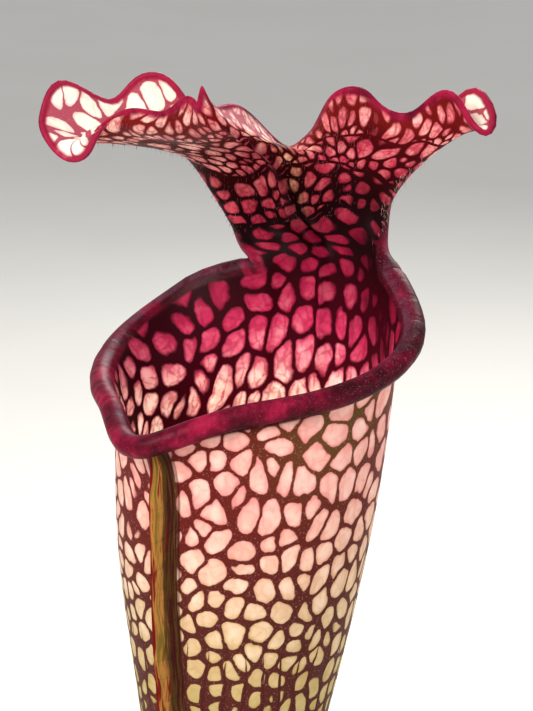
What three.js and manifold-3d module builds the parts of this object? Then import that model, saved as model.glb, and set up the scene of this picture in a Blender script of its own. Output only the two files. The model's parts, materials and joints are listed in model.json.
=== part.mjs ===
import * as THREE from "three";
import { mergeVertices } from "three/addons/utils/BufferGeometryUtils.js";
import Module from "manifold-3d";

// A pitcher plant growing in a plain round pot.
// Millimetres, +Z up, origin at the centre of the pot's underside.
// The viewer of the photograph stands at -Y; the plant's own front is turned 37 degrees to their left.

// ---------------------------------------------------------------- driving dimensions
const POT = {
  height: 114,
  rimRadius: 65,
  footRadius: 47,
  wall: 2.2,
  floor: 2.5,
  bandHeight: 13, // the stiff band round the top
  bandStep: 2, // how far the band stands out of the wall
  footGap: 3, // the floor is raised this much inside the foot ring
  footWidth: 5,
  drainRadius: 4.5,
  drainCircle: 27,
  drainHoles: 4,
};
const GAP = 0.3; // clearance between neighbouring pieces
const SOIL_TOP = 101;
const SOIL_DOME = 1.5; // the mix is this much lower at the pot's wall
const STUB_TOP = 105.2; // the leaf bases stand on the rhizome's buds at this height

const TALL_MOUTH = new THREE.Vector3(0, -14, 332); // middle of the big pitcher's mouth
const FOOT_BELOW_MOUTH = new THREE.Vector3(-13, 5, -226);
const TUBE_LENGTH = 222; // measured down the middle of the tube, mouth to foot
const CAVITY_DEPTH = 175; // the hollow ends here; below it the stalk is solid
const WALL = 1.2;
const LIP_ROLL_RADIUS = 2.1;
const LID_EDGE_RADIUS = 0.63;
const FLARE_LENGTH = 4.4; // the wall turns outwards over about this distance below the lip

const deg = THREE.MathUtils.degToRad;
const PLANT_FRONT = new THREE.Vector3(-Math.sin(deg(37)), -Math.cos(deg(37)), 0);
const MOUTH_CENTRE = new THREE.Vector3(-3.4, 0, -1);
const MOUTH_NORMAL = new THREE.Vector3(-Math.sin(deg(15.5)), -Math.sin(deg(15.5)), Math.cos(deg(15.5))).normalize();

// The column stands on this part of the mouth's ring. Angles run round the ring from the front spout,
// over the plant's left side (the viewer's right) to the back.
const COLUMN_MIDDLE = deg(187);
const COLUMN_HALF = deg(32.5);
const COLUMN_SKEW = deg(5.5);
const COLUMN_BACK = deg(182);
const LEFT_CORNER = deg(214);
const RIGHT_CORNER = deg(149);

// Radius of the tube's hollow by distance below the mouth.
const TUBE_RADIUS = [
  [0, 23.5],
  [12, 23.4],
  [23, 22.3],
  [34, 20.3],
  [45, 17.9],
  [57, 15.4],
  [80, 11.8],
  [100, 9.7],
  [130, 7.5],
  [165, 5.9],
  [200, 5],
  [222, 5.4],
];

// Four lines across the column and lid, from the viewer's left edge (-1) over the midrib (0) to the
// right edge (+1): [place across, x right, y back, z up], measured from the mouth.
const WAIST = [
  [-1, -4, 29, 15],
  [-0.85, -3.5, 26, 16],
  [-0.5, 0.5, 25.5, 17],
  [0, 7, 22, 19.5],
  [0.5, 15, 20, 20.5],
  [0.85, 22, 15.5, 20.5],
  [1, 24, 17.5, 19.5],
];
const SHOULDER = [
  [-1, -8.5, 35, 30],
  [-0.8, -12.5, 27, 29],
  [-0.5, -6, 23.5, 28],
  [0, 3, 19.5, 30.5],
  [0.5, 15, 17, 32],
  [0.8, 23.5, 14, 29.5],
  [1, 26, 21, 27.5],
];
const MID_LID = [
  [-1, -13, 36, 36],
  [-0.86, -21, 32, 35.5],
  [-0.7, -30, 27, 33.5],
  [-0.56, -29.5, 22, 34],
  [-0.4, -24, 17.5, 36.5],
  [-0.24, -15.5, 13, 36.5],
  [0, -4.5, 7, 39],
  [0.1, 0.5, 14, 36.5],
  [0.24, 4.5, 23, 33],
  [0.36, 8.5, 23, 32.5],
  [0.54, 15, 12, 38.5],
  [0.7, 25, 10.5, 36.5],
  [0.8, 32, 8, 38],
  [0.88, 36, 7, 38],
  [1, 30.5, 18, 35.5],
];
const MARGIN = [
  [-1, -13, 35, 39.5],
  [-0.93, -19, 36, 44],
  [-0.83, -28.5, 34, 39],
  [-0.77, -36.5, 32, 43.5],
  [-0.68, -40.5, 27.5, 37],
  [-0.58, -35.5, 22, 31],
  [-0.46, -29, 18, 38],
  [-0.4, -24.5, 15, 41.5],
  [-0.3, -17.5, 9, 42],
  [-0.15, -12, 3.5, 45.5],
  [0, -9.5, 1, 48.5],
  [0.1, -4.5, 11, 43.5],
  [0.19, 0.5, 20, 38],
  [0.28, 5.5, 28, 32],
  [0.35, 8, 28, 33.5],
  [0.42, 10, 22, 37],
  [0.49, 12.5, 13, 43.5],
  [0.55, 15.5, 8, 46],
  [0.61, 19.5, 8, 45.5],
  [0.7, 26, 10, 41],
  [0.78, 32, 4, 45.5],
  [0.82, 34.5, 2, 45.5],
  [0.9, 41, 0, 39.5],
  [0.93, 42, 3, 42.5],
  [0.96, 39.5, 8, 45.5],
  [1, 34.5, 14, 42],
];
const LINE_HEIGHTS = [-0.9, 0, 1.15, 2.3, 3.7, 5]; // spacing of the lines up the lid, in centimetres

// Leaves: where each one stands, and its size.
const SHORT_PITCHER = { foot: [14, -2, 106.2], scale: 0.5, turn: 125, leanX: 4, leanY: 9 };
const YOUNG_PITCHER = { foot: [-27, -6, 105.6], tip: [-40, 12, 212], width: 13, thick: 10 };
const SWORD_LEAVES = [
  { foot: [-4, 3, 105.6], tip: [8, 38, 214], width: 13, thick: 2.6, bow: 10 },
  { foot: [2, -14, 105.6], tip: [22, -46, 196], width: 12, thick: 2.6, bow: 9 },
  { foot: [-31, 5, 105.6], tip: [-56, -6, 178], width: 11, thick: 2.4, bow: 8 },
];
const RHIZOME = { from: [-42, 4, 95], middle: [-12, -10, 97], to: [24, -3, 96], radius: 7.5 };
const ROOTS = [
  { from: [-34, 1, 95], to: [-40, 12, 34], bow: [-10, 6, 0] },
  { from: [-22, -5, 95], to: [-14, -26, 26], bow: [-8, -8, 0] },
  { from: [-8, -6, 95], to: [-2, 20, 22], bow: [6, 10, 0] },
  { from: [6, -5, 95], to: [22, -22, 30], bow: [8, -8, 0] },
  { from: [16, -4, 95], to: [34, 14, 38], bow: [10, 4, 0] },
];
const ROOT_RADIUS = 1.3;

// ---------------------------------------------------------------- small helpers
const wrap = (angle) => Math.atan2(Math.sin(angle), Math.cos(angle));
const hump = (angle, middle, width) => Math.exp(-((wrap(angle - middle) / width) ** 2));
const smooth = THREE.MathUtils.smoothstep;
const vector = (list) => new THREE.Vector3(...list);

// The natural cubic spline through rows of [place, value, value, ...], as a function of the place.
function splineThrough(rows) {
  const x = rows.map((row) => row[0]);
  const last = rows.length - 1;
  const step = x.slice(1).map((value, i) => value - x[i]);
  const channels = rows[0].slice(1).map((_, c) => {
    const y = rows.map((row) => row[c + 1]);
    const bend = new Array(last + 1).fill(0);
    const upper = new Array(last + 1).fill(0);
    for (let i = 1; i < last; i++) {
      const pivot = 2 * (step[i - 1] + step[i]) - step[i - 1] * upper[i - 1];
      upper[i] = step[i] / pivot;
      const slope = (y[i + 1] - y[i]) / step[i] - (y[i] - y[i - 1]) / step[i - 1];
      bend[i] = (6 * slope - step[i - 1] * bend[i - 1]) / pivot;
    }
    for (let i = last - 1; i > 0; i--) {
      bend[i] -= upper[i] * bend[i + 1];
    }
    return { y, bend };
  });
  return (place) => {
    let i = x.findIndex((value) => value > place) - 1;
    if (i < 0) i = place < x[0] ? 0 : last - 1;
    const h = step[i];
    const a = (x[i + 1] - place) / h;
    const b = (place - x[i]) / h;
    return channels.map(({ y, bend }) => {
      const cubic = (a ** 3 - a) * bend[i] + (b ** 3 - b) * bend[i + 1];
      return a * y[i] + b * y[i + 1] + (cubic * h * h) / 6;
    });
  };
}

// Triangles of a grid of point numbers, row by row.
function gridTriangles(grid) {
  const triangles = [];
  for (let r = 0; r + 1 < grid.length; r++) {
    for (let c = 0; c + 1 < grid[r].length; c++) {
      const [a, b, d, e] = [grid[r][c], grid[r][c + 1], grid[r + 1][c + 1], grid[r + 1][c]];
      triangles.push([a, b, d], [a, d, e]);
    }
  }
  return triangles;
}

function geometryOf(points, triangles) {
  const geometry = new THREE.BufferGeometry().setFromPoints(points);
  geometry.setIndex(triangles.flat());
  geometry.computeVertexNormals();
  return geometry;
}

function pointNormals(points, triangles) {
  const normals = points.map(() => new THREE.Vector3());
  const face = new THREE.Triangle();
  for (const [a, b, c] of triangles) {
    face.set(points[a], points[b], points[c]);
    const normal = face.getNormal(new THREE.Vector3()).multiplyScalar(face.getArea());
    for (const corner of [a, b, c]) normals[corner].add(normal);
  }
  return normals.map((normal) => normal.normalize());
}

// ---------------------------------------------------------------- cuts and joins
const manifold = await Module();
manifold.setup();

function toSolid(geometry) {
  const bare = geometry.clone();
  for (const name of Object.keys(bare.attributes)) {
    if (name !== "position") bare.deleteAttribute(name);
  }
  const merged = mergeVertices(bare, 1e-3);
  const mesh = new manifold.Mesh({
    numProp: 3,
    vertProperties: new Float32Array(merged.attributes.position.array),
    triVerts: new Uint32Array(merged.index.array),
  });
  return new manifold.Manifold(mesh);
}

function fromSolid(solid) {
  const mesh = solid.getMesh();
  const geometry = new THREE.BufferGeometry();
  geometry.setAttribute("position", new THREE.BufferAttribute(mesh.vertProperties, 3));
  geometry.setIndex(new THREE.BufferAttribute(mesh.triVerts, 1));
  geometry.computeVertexNormals();
  return geometry;
}

// ---------------------------------------------------------------- the pitcher's surface
const mouthFront = PLANT_FRONT.clone().projectOnPlane(MOUTH_NORMAL).normalize();
const mouthSide = new THREE.Vector3().crossVectors(MOUTH_NORMAL, mouthFront);
const tubeMiddle = new THREE.CubicBezierCurve3(
  new THREE.Vector3(-0.2, -1, -5),
  new THREE.Vector3(-0.2 - 0.066 * TUBE_LENGTH * 0.45, -1, -5 - TUBE_LENGTH * 0.45),
  new THREE.Vector3(0, -4, TUBE_LENGTH * 0.3).add(FOOT_BELOW_MOUTH),
  FOOT_BELOW_MOUTH,
);
const tubeRadius = splineThrough(TUBE_RADIUS);

// Radius of the mouth round its ring: a rounded triangle with a pinched spout in front.
function mouthRadius(angle) {
  const round = 28.3 - 2.9 * Math.cos(angle) - 1.8 * Math.cos(2 * angle) + 1.9 * Math.cos(3 * angle);
  const spout = 4.6 * hump(angle, 0, deg(20)) + 1.2 * hump(angle, 0, deg(8));
  const dents = 0.8 * hump(angle, deg(-20), deg(18)) + hump(angle, deg(130), deg(18));
  const leftDents = 1.5 * hump(angle, deg(235), deg(36)) + 0.9 * hump(angle, deg(285), deg(34));
  return round + spout - dents - leftDents + 1.4 * hump(angle, deg(156), deg(16)) - 1.35;
}

// How far the ring lies above the mouth's plane; it climbs towards the column on both sides.
function mouthHeight(angle) {
  const climb = 1 - smooth(Math.abs(wrap(angle - COLUMN_BACK)), deg(33), deg(75));
  return 1.4 * Math.cos(2 * angle) + 2.4 * climb ** 2;
}

// How much of the flare a place on the ring gets: all of it at the free lip, little under the column.
function flare(angle) {
  return 0.12 + 0.88 * smooth(Math.abs(wrap(angle - COLUMN_BACK)), deg(24), deg(52));
}

function lipPoint(angle) {
  return MOUTH_CENTRE.clone()
    .addScaledVector(mouthFront, mouthRadius(angle) * Math.cos(angle))
    .addScaledVector(mouthSide, mouthRadius(angle) * Math.sin(angle))
    .addScaledVector(MOUTH_NORMAL, mouthHeight(angle) + 1.6);
}

function ringPoint(angle, depth) {
  const place = depth / TUBE_LENGTH;
  const up = tubeMiddle.getTangent(place).negate();
  const front = PLANT_FRONT.clone().projectOnPlane(up).normalize();
  const side = new THREE.Vector3().crossVectors(up, front);
  const radius = tubeRadius(depth)[0];
  const point = tubeMiddle
    .getPoint(place)
    .addScaledVector(front, radius * Math.cos(angle))
    .addScaledVector(side, radius * Math.sin(angle));
  return { point, up };
}

// The wall at an angle round the tube and a depth below the mouth. Its rings lie square to the tube
// low down and turn into the sloping mouth near the top, where the wall flares out to the lip.
function wallPoint(angle, depth) {
  const top = ringPoint(angle, 0);
  const toPlane = mouthHeight(angle) - top.point.clone().sub(MOUTH_CENTRE).dot(MOUTH_NORMAL);
  const slide = toPlane / top.up.dot(MOUTH_NORMAL);
  const wallTop = top.point.clone().addScaledVector(top.up, slide);
  const outwards = lipPoint(angle).sub(wallTop).multiplyScalar(flare(angle) * Math.exp(-depth / FLARE_LENGTH));
  const ring = ringPoint(angle, depth);
  return ring.point.addScaledVector(ring.up, slide * (1 - smooth(depth, 2, 55))).add(outwards);
}

const columnAngle = (across) => COLUMN_MIDDLE - COLUMN_HALF * across - COLUMN_SKEW * across ** 2;
const lidLines = [WAIST, SHOULDER, MID_LID, MARGIN].map(splineThrough);

// The column and lid: one smooth curve up from the wall through the four lines, for each place across.
function lidCurve(across) {
  const angle = columnAngle(across);
  const places = [wallPoint(angle, 9).toArray(), wallPoint(angle, 0).toArray()];
  for (const line of lidLines) places.push(line(across));
  return splineThrough(places.map((place, i) => [LINE_HEIGHTS[i], ...place]));
}

// The wing: a thin ridge that runs down the front of the tube.
const wingHeight = splineThrough([
  [0, 0],
  [3, 0.6],
  [7, 3.2],
  [13, 4.1],
  [25, 4.2],
  [60, 4.2],
  [110, 4.6],
  [190, 2.5],
  [222, 0.5],
]);

// Angles of the free lip's columns, crowded towards the front so that the wing has an edge.
function lipAngles(count) {
  return Array.from({ length: count - 1 }, (_, i) => {
    const t = (2 * (i + 1)) / count - 1;
    const eased = 0.42 * t + 0.58 * t ** 3;
    return eased < 0 ? -eased * RIGHT_CORNER : eased * (LEFT_CORNER - 2 * Math.PI);
  });
}

// A whole pitcher leaf as one closed solid: the inner sheet (hollow of the tube, column and lid), the
// outer sheet one wall thickness behind it, and a rolled edge that joins the two all the way round.
function pitcherGeometry({ columnCells, lipCells, depths, lidRows, rollSteps }) {
  const angles = [];
  for (let i = 0; i <= columnCells; i++) angles.push(columnAngle((2 * i) / columnCells - 1));
  angles.push(...lipAngles(lipCells));
  const around = angles.length;
  const rows = depths.slice().reverse();

  const points = [];
  const add = (point) => points.push(point) - 1;
  const tube = rows.map((depth) => angles.map((angle) => add(wallPoint(angle, depth))));
  const mouthRow = tube[tube.length - 1];

  // the lid has two columns for each one of the tube below it
  const middles = [];
  for (let i = 0; i < columnCells; i++) {
    middles.push(add(points[mouthRow[i]].clone().lerp(points[mouthRow[i + 1]], 0.5)));
  }
  const lidFoot = [mouthRow[0]];
  for (let i = 0; i < columnCells; i++) lidFoot.push(middles[i], mouthRow[i + 1]);
  const curves = lidFoot.map((_, i) => lidCurve(i / columnCells - 1));
  const lid = [lidFoot];
  for (let r = 1; r <= lidRows; r++) {
    lid.push(curves.map((curve) => add(vector(curve((5 * r) / lidRows)))));
  }

  const closed = tube.map((row) => [...row, row[0]]);
  const cavityRow = rows.findIndex((depth) => depth <= CAVITY_DEPTH);
  const stalk = gridTriangles(closed.slice(0, cavityRow + 1));
  const throat = gridTriangles(closed.slice(cavityRow, -1));
  const below = closed[closed.length - 2];
  for (let i = 0; i < around; i++) {
    const [a, b, c, d] = [below[i], below[i + 1], closed[closed.length - 1][i + 1], mouthRow[i]];
    if (i < columnCells) throat.push([a, b, middles[i]], [a, middles[i], d], [b, c, middles[i]]);
    else throat.push([a, b, c], [a, c, d]);
  }
  throat.push(...gridTriangles(lid));
  // so far every triangle faces into the tube; the outer sheet uses the same ones turned over
  const outside = [...stalk, ...throat].map(([a, b, c]) => [a, c, b]);
  const normals = pointNormals(points, outside);

  // the free edge, and for each of its points a neighbour further in
  const top = lid[lidRows];
  const end = top.length - 1;
  const edge = [];
  const inner = [];
  const roll = [];
  const addEdge = (point, neighbour, radius) => {
    edge.push(point);
    inner.push(neighbour);
    roll.push(radius);
  };
  const sideRoll = (row) => {
    const fade = Math.exp(-(((5 * row) / lidRows / 1.6) ** 2));
    return LID_EDGE_RADIUS + (LIP_ROLL_RADIUS - LID_EDGE_RADIUS) * fade;
  };
  for (let r = 0; r < lidRows; r++) addEdge(lid[r][0], r ? lid[r][1] : below[0], sideRoll(r));
  addEdge(top[0], lid[lidRows - 1][1], LID_EDGE_RADIUS);
  for (let c = 1; c < end; c++) addEdge(top[c], lid[lidRows - 1][c], LID_EDGE_RADIUS);
  addEdge(top[end], lid[lidRows - 1][end - 1], LID_EDGE_RADIUS);
  for (let r = lidRows - 1; r > 0; r--) addEdge(lid[r][end], lid[r][end - 1], sideRoll(r));
  for (let i = columnCells; i < around; i++) addEdge(mouthRow[i], below[i], LIP_ROLL_RADIUS);

  // directions at the edge: along it, out of the wall, and onwards past the edge
  const count = edge.length;
  const along = edge.map((_, i) => {
    const next = points[edge[(i + 1) % count]];
    return next.clone().sub(points[edge[(i + count - 1) % count]]).normalize();
  });
  let onwards = edge.map((point, i) => {
    const direction = new THREE.Vector3().crossVectors(along[i], normals[point]);
    const past = points[point].clone().sub(points[inner[i]]);
    return direction.multiplyScalar(Math.sign(direction.dot(past)));
  });
  onwards = onwards.map((direction, i) => {
    const before = onwards[(i + count - 1) % count];
    return direction.clone().multiplyScalar(2).add(before).add(onwards[(i + 1) % count]).normalize();
  });
  const outOfWall = edge.map((point, i) => normals[point].clone().projectOnPlane(onwards[i]).normalize());

  // the roll ends behind the wall, this far back from the edge
  const setBack = roll.map((radius) => Math.sqrt(2 * radius * WALL - WALL * WALL));
  const edgePlace = new Map(edge.map((point, i) => [point, i]));
  const outer = points.map((point, p) => {
    const place = edgePlace.get(p);
    const shifted = point.clone();
    if (place !== undefined) {
      return shifted.addScaledVector(outOfWall[place], WALL).addScaledVector(onwards[place], -setBack[place]);
    }
    shifted.addScaledVector(normals[p], WALL);
    let nearest = 0;
    edge.forEach((other, i) => {
      if (point.distanceTo(points[other]) < point.distanceTo(points[edge[nearest]])) nearest = i;
    });
    const reach = Math.max(0, 1 - point.distanceTo(points[edge[nearest]]) / 5);
    return shifted.addScaledVector(onwards[nearest], -setBack[nearest] * reach);
  });
  rows.forEach((depth, r) => {
    tube[r].forEach((p, i) => {
      const arc = Math.abs(wrap(angles[i])) * tubeRadius(depth)[0];
      outer[p].addScaledVector(normals[p], wingHeight(depth)[0] * Math.exp(-((arc / 1.1) ** 1.5)));
    });
  });

  const all = [...points, ...outer];
  const behind = (list) => list.map((corners) => corners.map((p) => p + points.length));
  const triangles = [...throat, ...behind(outside)];

  // the rolled edge: nearly a full circle of the roll's radius
  const rings = [edge];
  for (let k = 1; k < rollSteps; k++) {
    const ring = edge.map((point, i) => {
      const turn = ((2 * Math.PI - Math.acos(1 - WALL / roll[i])) * k) / rollSteps;
      const place = points[point].clone();
      place.addScaledVector(outOfWall[i], roll[i] * (1 - Math.cos(turn)));
      place.addScaledVector(onwards[i], roll[i] * Math.sin(turn));
      return all.push(place) - 1;
    });
    rings.push(ring);
  }
  rings.push(edge.map((point) => point + points.length));
  triangles.push(...gridTriangles(rings.map((ring) => [...ring, ring[0]])));

  // the bottom of the hollow and the leaf's foot
  const hollowEnd = middleOf(tube[cavityRow].map((p) => all[p])).add(new THREE.Vector3(0, 0, -2.5));
  const footEnd = middleOf(tube[0].map((p) => outer[p]));
  const hollowTip = all.push(hollowEnd) - 1;
  const footTip = all.push(footEnd) - 1;
  for (let i = 0; i < around; i++) {
    const next = (i + 1) % around;
    triangles.push([hollowTip, tube[cavityRow][next], tube[cavityRow][i]]);
    triangles.push([footTip, tube[0][i] + points.length, tube[0][next] + points.length]);
  }
  return dropUnused(all, triangles);
}

function middleOf(points) {
  const sum = new THREE.Vector3();
  for (const point of points) sum.add(point);
  return sum.divideScalar(points.length);
}

function dropUnused(points, triangles) {
  const used = [...new Set(triangles.flat())];
  const renumber = new Map(used.map((p, i) => [p, i]));
  return geometryOf(
    used.map((p) => points[p]),
    triangles.map((corners) => corners.map((p) => renumber.get(p))),
  );
}

// ---------------------------------------------------------------- simpler leaves, rhizome and roots
// A closed body swept along a curve. The shape gives half the width and half the thickness at each
// place (0 to 1); the width lies along the given direction.
function sweptGeometry(curve, stations, sides, widthDirection, shape) {
  const points = [curve.getPoint(0)];
  const rings = [];
  for (let s = 0; s <= stations; s++) {
    const place = s / stations;
    const centre = curve.getPoint(place);
    const along = curve.getTangent(place);
    const wide = widthDirection.clone().projectOnPlane(along).normalize();
    const thick = new THREE.Vector3().crossVectors(along, wide);
    const [halfWidth, halfThick] = shape(place);
    const ring = [];
    for (let i = 0; i < sides; i++) {
      const angle = (2 * Math.PI * i) / sides;
      const point = centre.clone().addScaledVector(wide, halfWidth * Math.cos(angle));
      ring.push(points.push(point.addScaledVector(thick, halfThick * Math.sin(angle))) - 1);
    }
    rings.push([...ring, ring[0]]);
  }
  const tip = points.push(curve.getPoint(1)) - 1;
  const triangles = gridTriangles(rings);
  for (let i = 0; i < sides; i++) {
    triangles.push([0, rings[0][i + 1], rings[0][i]], [tip, rings[stations][i], rings[stations][i + 1]]);
  }
  return geometryOf(points, triangles);
}

function swordLeaf({ foot, tip, width, thick, bow }) {
  const start = vector(foot);
  const finish = vector(tip);
  const lean = finish.clone().sub(start).setZ(0).normalize();
  const straight = new THREE.Vector3(0, 0, (tip[2] - foot[2]) * 0.5).add(start).addScaledVector(lean, -bow * 0.3);
  const curve = new THREE.QuadraticBezierCurve3(start, straight, finish);
  const across = new THREE.Vector3().crossVectors(lean, new THREE.Vector3(0, 0, 1));
  return sweptGeometry(curve, 12, 8, across, (place) => {
    const outline = Math.min(1, 0.45 + 2.2 * place) * Math.sqrt(Math.max(0.004, 1 - place ** 3));
    return [(width / 2) * outline, (thick / 2) * (1.6 - 0.9 * place) * Math.max(0.25, outline)];
  });
}

function youngPitcher({ foot, tip, width, thick }) {
  const start = vector(foot);
  const finish = vector(tip);
  const middle = start.clone().lerp(finish, 0.5).add(new THREE.Vector3(5, -5, 6));
  const curve = new THREE.QuadraticBezierCurve3(start, middle, finish);
  const swell = splineThrough([
    [0, 0.62],
    [0.2, 0.42],
    [0.5, 0.62],
    [0.72, 1],
    [0.84, 0.92],
    [0.94, 0.45],
    [1, 0.08],
  ]);
  const across = new THREE.Vector3(0.8, -0.6, 0);
  return sweptGeometry(curve, 14, 12, across, (place) => {
    const size = swell(place)[0];
    return [(width / 2) * size, (thick / 2) * size];
  });
}

const rhizomeCurve = new THREE.QuadraticBezierCurve3(
  vector(RHIZOME.from),
  vector(RHIZOME.middle),
  vector(RHIZOME.to),
);

// Where the leaves stand on the rhizome, and how thick their feet are.
const LEAF_FEET = [
  [TALL_MOUTH.x + FOOT_BELOW_MOUTH.x, TALL_MOUTH.y + FOOT_BELOW_MOUTH.y, 7.4],
  [SHORT_PITCHER.foot[0], SHORT_PITCHER.foot[1], 4.6],
  [YOUNG_PITCHER.foot[0], YOUNG_PITCHER.foot[1], 4.6],
  ...SWORD_LEAVES.map(({ foot }) => [foot[0], foot[1], 3.6]),
];

// The rhizome: a lumpy creeping stem with a bud under each leaf, and roots that go down into the mix.
// Grown by the gap, the same body cuts its own bed in the mix.
function rhizomeSolid(grow) {
  const stem = sweptGeometry(rhizomeCurve, 14, 14, new THREE.Vector3(0, 0, 1), (place) => {
    const rounded = Math.sqrt(Math.max(0.06, 1 - (2 * place - 1) ** 4));
    const radius = RHIZOME.radius * rounded * (1 + 0.07 * Math.sin(place * 34)) + grow;
    return [radius, radius * 1.1];
  });
  let solid = toSolid(stem);
  for (const [x, y, radius] of LEAF_FEET) {
    const height = STUB_TOP - RHIZOME.middle[2] + 2 + grow;
    const bud = new THREE.CylinderGeometry(radius + grow, radius * 1.25 + grow, height, 12);
    bud.rotateX(Math.PI / 2).translate(x, y, STUB_TOP + grow - height / 2);
    const shoulder = new THREE.IcosahedronGeometry(radius * 1.5 + grow, 1);
    shoulder.translate(x, y, Math.min(RHIZOME.middle[2], STUB_TOP - radius * 1.5) - 1);
    solid = solid.add(toSolid(bud)).add(toSolid(shoulder));
  }
  for (const { from, to, bow } of ROOTS) {
    const middle = vector(from).lerp(vector(to), 0.5).add(vector(bow));
    const curve = new THREE.QuadraticBezierCurve3(vector(from), middle, vector(to));
    const root = sweptGeometry(curve, 7, 6, new THREE.Vector3(1, 0, 0), (place) => {
      const radius = ROOT_RADIUS * (1.3 - 0.8 * place) + grow;
      return [radius, radius];
    });
    solid = solid.add(toSolid(root));
  }
  return solid;
}

// ---------------------------------------------------------------- pot and potting mix
function turned(profile, segments) {
  const outline = profile.map(([radius, height]) => new THREE.Vector2(radius, height));
  return new THREE.LatheGeometry(outline, segments).rotateX(Math.PI / 2);
}

const wallSlope = (POT.rimRadius - POT.bandStep - POT.footRadius) / POT.height;
const outsideRadius = (z) => POT.footRadius + wallSlope * z;
const insideRadius = (z) => outsideRadius(z) - POT.wall;

function potGeometry() {
  const { height, rimRadius, bandHeight, wall, floor, footGap, footWidth } = POT;
  const bandFoot = height - bandHeight;
  const profile = [
    [0, footGap],
    [POT.footRadius - footWidth - 1.5, footGap],
    [POT.footRadius - footWidth, 0],
    [POT.footRadius - 0.8, 0],
    [outsideRadius(0.8), 0.8],
    [outsideRadius(bandFoot), bandFoot],
    [rimRadius - 1.2, bandFoot + 0.5],
    [rimRadius - 0.6, bandFoot + 1.3],
    [rimRadius, height - 1.2],
    [rimRadius - 1, height],
    [rimRadius - wall - 0.6, height],
    [insideRadius(height), height - 1],
    [insideRadius(footGap + floor + 1), footGap + floor + 1],
    [insideRadius(footGap + floor) - 1.2, footGap + floor],
    [0, footGap + floor],
  ];
  let solid = toSolid(turned(profile, 48));
  for (let i = 0; i < POT.drainHoles; i++) {
    const angle = ((i + 0.5) * 2 * Math.PI) / POT.drainHoles;
    const drill = new THREE.CylinderGeometry(POT.drainRadius, POT.drainRadius, 20, 16).rotateX(Math.PI / 2);
    drill.translate(POT.drainCircle * Math.cos(angle), POT.drainCircle * Math.sin(angle), footGap);
    solid = solid.subtract(toSolid(drill));
  }
  return fromSolid(solid);
}

function mixGeometry() {
  const bottom = POT.footGap + POT.floor + GAP;
  const edge = SOIL_TOP - SOIL_DOME;
  const profile = [
    [0, bottom],
    [insideRadius(bottom) - 1.6 - GAP, bottom],
    [insideRadius(bottom + 1.5) - GAP, bottom + 1.5],
    [insideRadius(edge) - GAP, edge],
    [insideRadius(edge) - 14, SOIL_TOP - 0.6],
    [20, SOIL_TOP],
    [0, SOIL_TOP],
  ];
  return fromSolid(toSolid(turned(profile, 40)).subtract(rhizomeSolid(GAP)));
}

// ---------------------------------------------------------------- the assembly
const FINISH = {
  pot_plastic: new THREE.MeshStandardMaterial({ color: "#e9e8e3", roughness: 0.45 }),
  peat: new THREE.MeshStandardMaterial({ color: "#3a2a20", roughness: 1 }),
  rhizome_bark: new THREE.MeshStandardMaterial({ color: "#6b4632", roughness: 0.85 }),
  pitcher_leaf: new THREE.MeshStandardMaterial({ color: "#a3405a", roughness: 0.45 }),
  green_leaf: new THREE.MeshStandardMaterial({ color: "#6f8f3a", roughness: 0.5 }),
};

const plant = new THREE.Group();
function addNode(name, geometry, finish) {
  const mesh = new THREE.Mesh(geometry, FINISH[finish]);
  mesh.name = name;
  plant.add(mesh);
}

const tallPitcher = pitcherGeometry({
  columnCells: 12,
  lipCells: 26,
  depths: [0, 2.2, 5, 9, 15, 25, 40, 60, 90, 130, 175, TUBE_LENGTH],
  lidRows: 12,
  rollSteps: 4,
}).translate(TALL_MOUTH.x, TALL_MOUTH.y, TALL_MOUTH.z);

// The short pitcher is a smaller leaf of the same form, turned round and leaning outwards.
const shortPitcher = pitcherGeometry({
  columnCells: 8,
  lipCells: 18,
  depths: [0, 3, 8, 18, 35, 60, 100, 175, TUBE_LENGTH],
  lidRows: 8,
  rollSteps: 3,
})
  .translate(-FOOT_BELOW_MOUTH.x, -FOOT_BELOW_MOUTH.y, -FOOT_BELOW_MOUTH.z)
  .scale(SHORT_PITCHER.scale, SHORT_PITCHER.scale, SHORT_PITCHER.scale)
  .rotateZ(deg(SHORT_PITCHER.turn))
  .rotateX(deg(-SHORT_PITCHER.leanX))
  .rotateY(deg(SHORT_PITCHER.leanY))
  .translate(...SHORT_PITCHER.foot);

addNode("pot", potGeometry(), "pot_plastic");
addNode("potting_mix", mixGeometry(), "peat");
addNode("rhizome", fromSolid(rhizomeSolid(0)), "rhizome_bark");
addNode("tall_pitcher", tallPitcher, "pitcher_leaf");
addNode("short_pitcher", shortPitcher, "pitcher_leaf");
addNode("young_pitcher", youngPitcher(YOUNG_PITCHER), "green_leaf");
SWORD_LEAVES.forEach((leaf, i) => addNode(`sword_leaf_${i + 1}`, swordLeaf(leaf), "green_leaf"));

export default plant;
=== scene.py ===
# %% [markdown]
# # A potted pitcher plant
# A pitcher plant catches insects in leaves that have grown into tubes. This lesson builds one in its pot: a
# tall pitcher with a rolled lip and a ruffled lid, a shorter one, a young one that hasn't opened, three
# flat leaves, the creeping stem that carries them, the potting mix and the pot. The solid model of the
# plant is loaded first. It fixes every place and size, in metres. Each solid is then replaced by a finer
# surface that is worked out with numpy and finished with a procedural material.

import json
import math
from types import SimpleNamespace

import bpy
import numpy as np
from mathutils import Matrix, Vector
from mathutils.geometry import delaunay_2d_cdt

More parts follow.
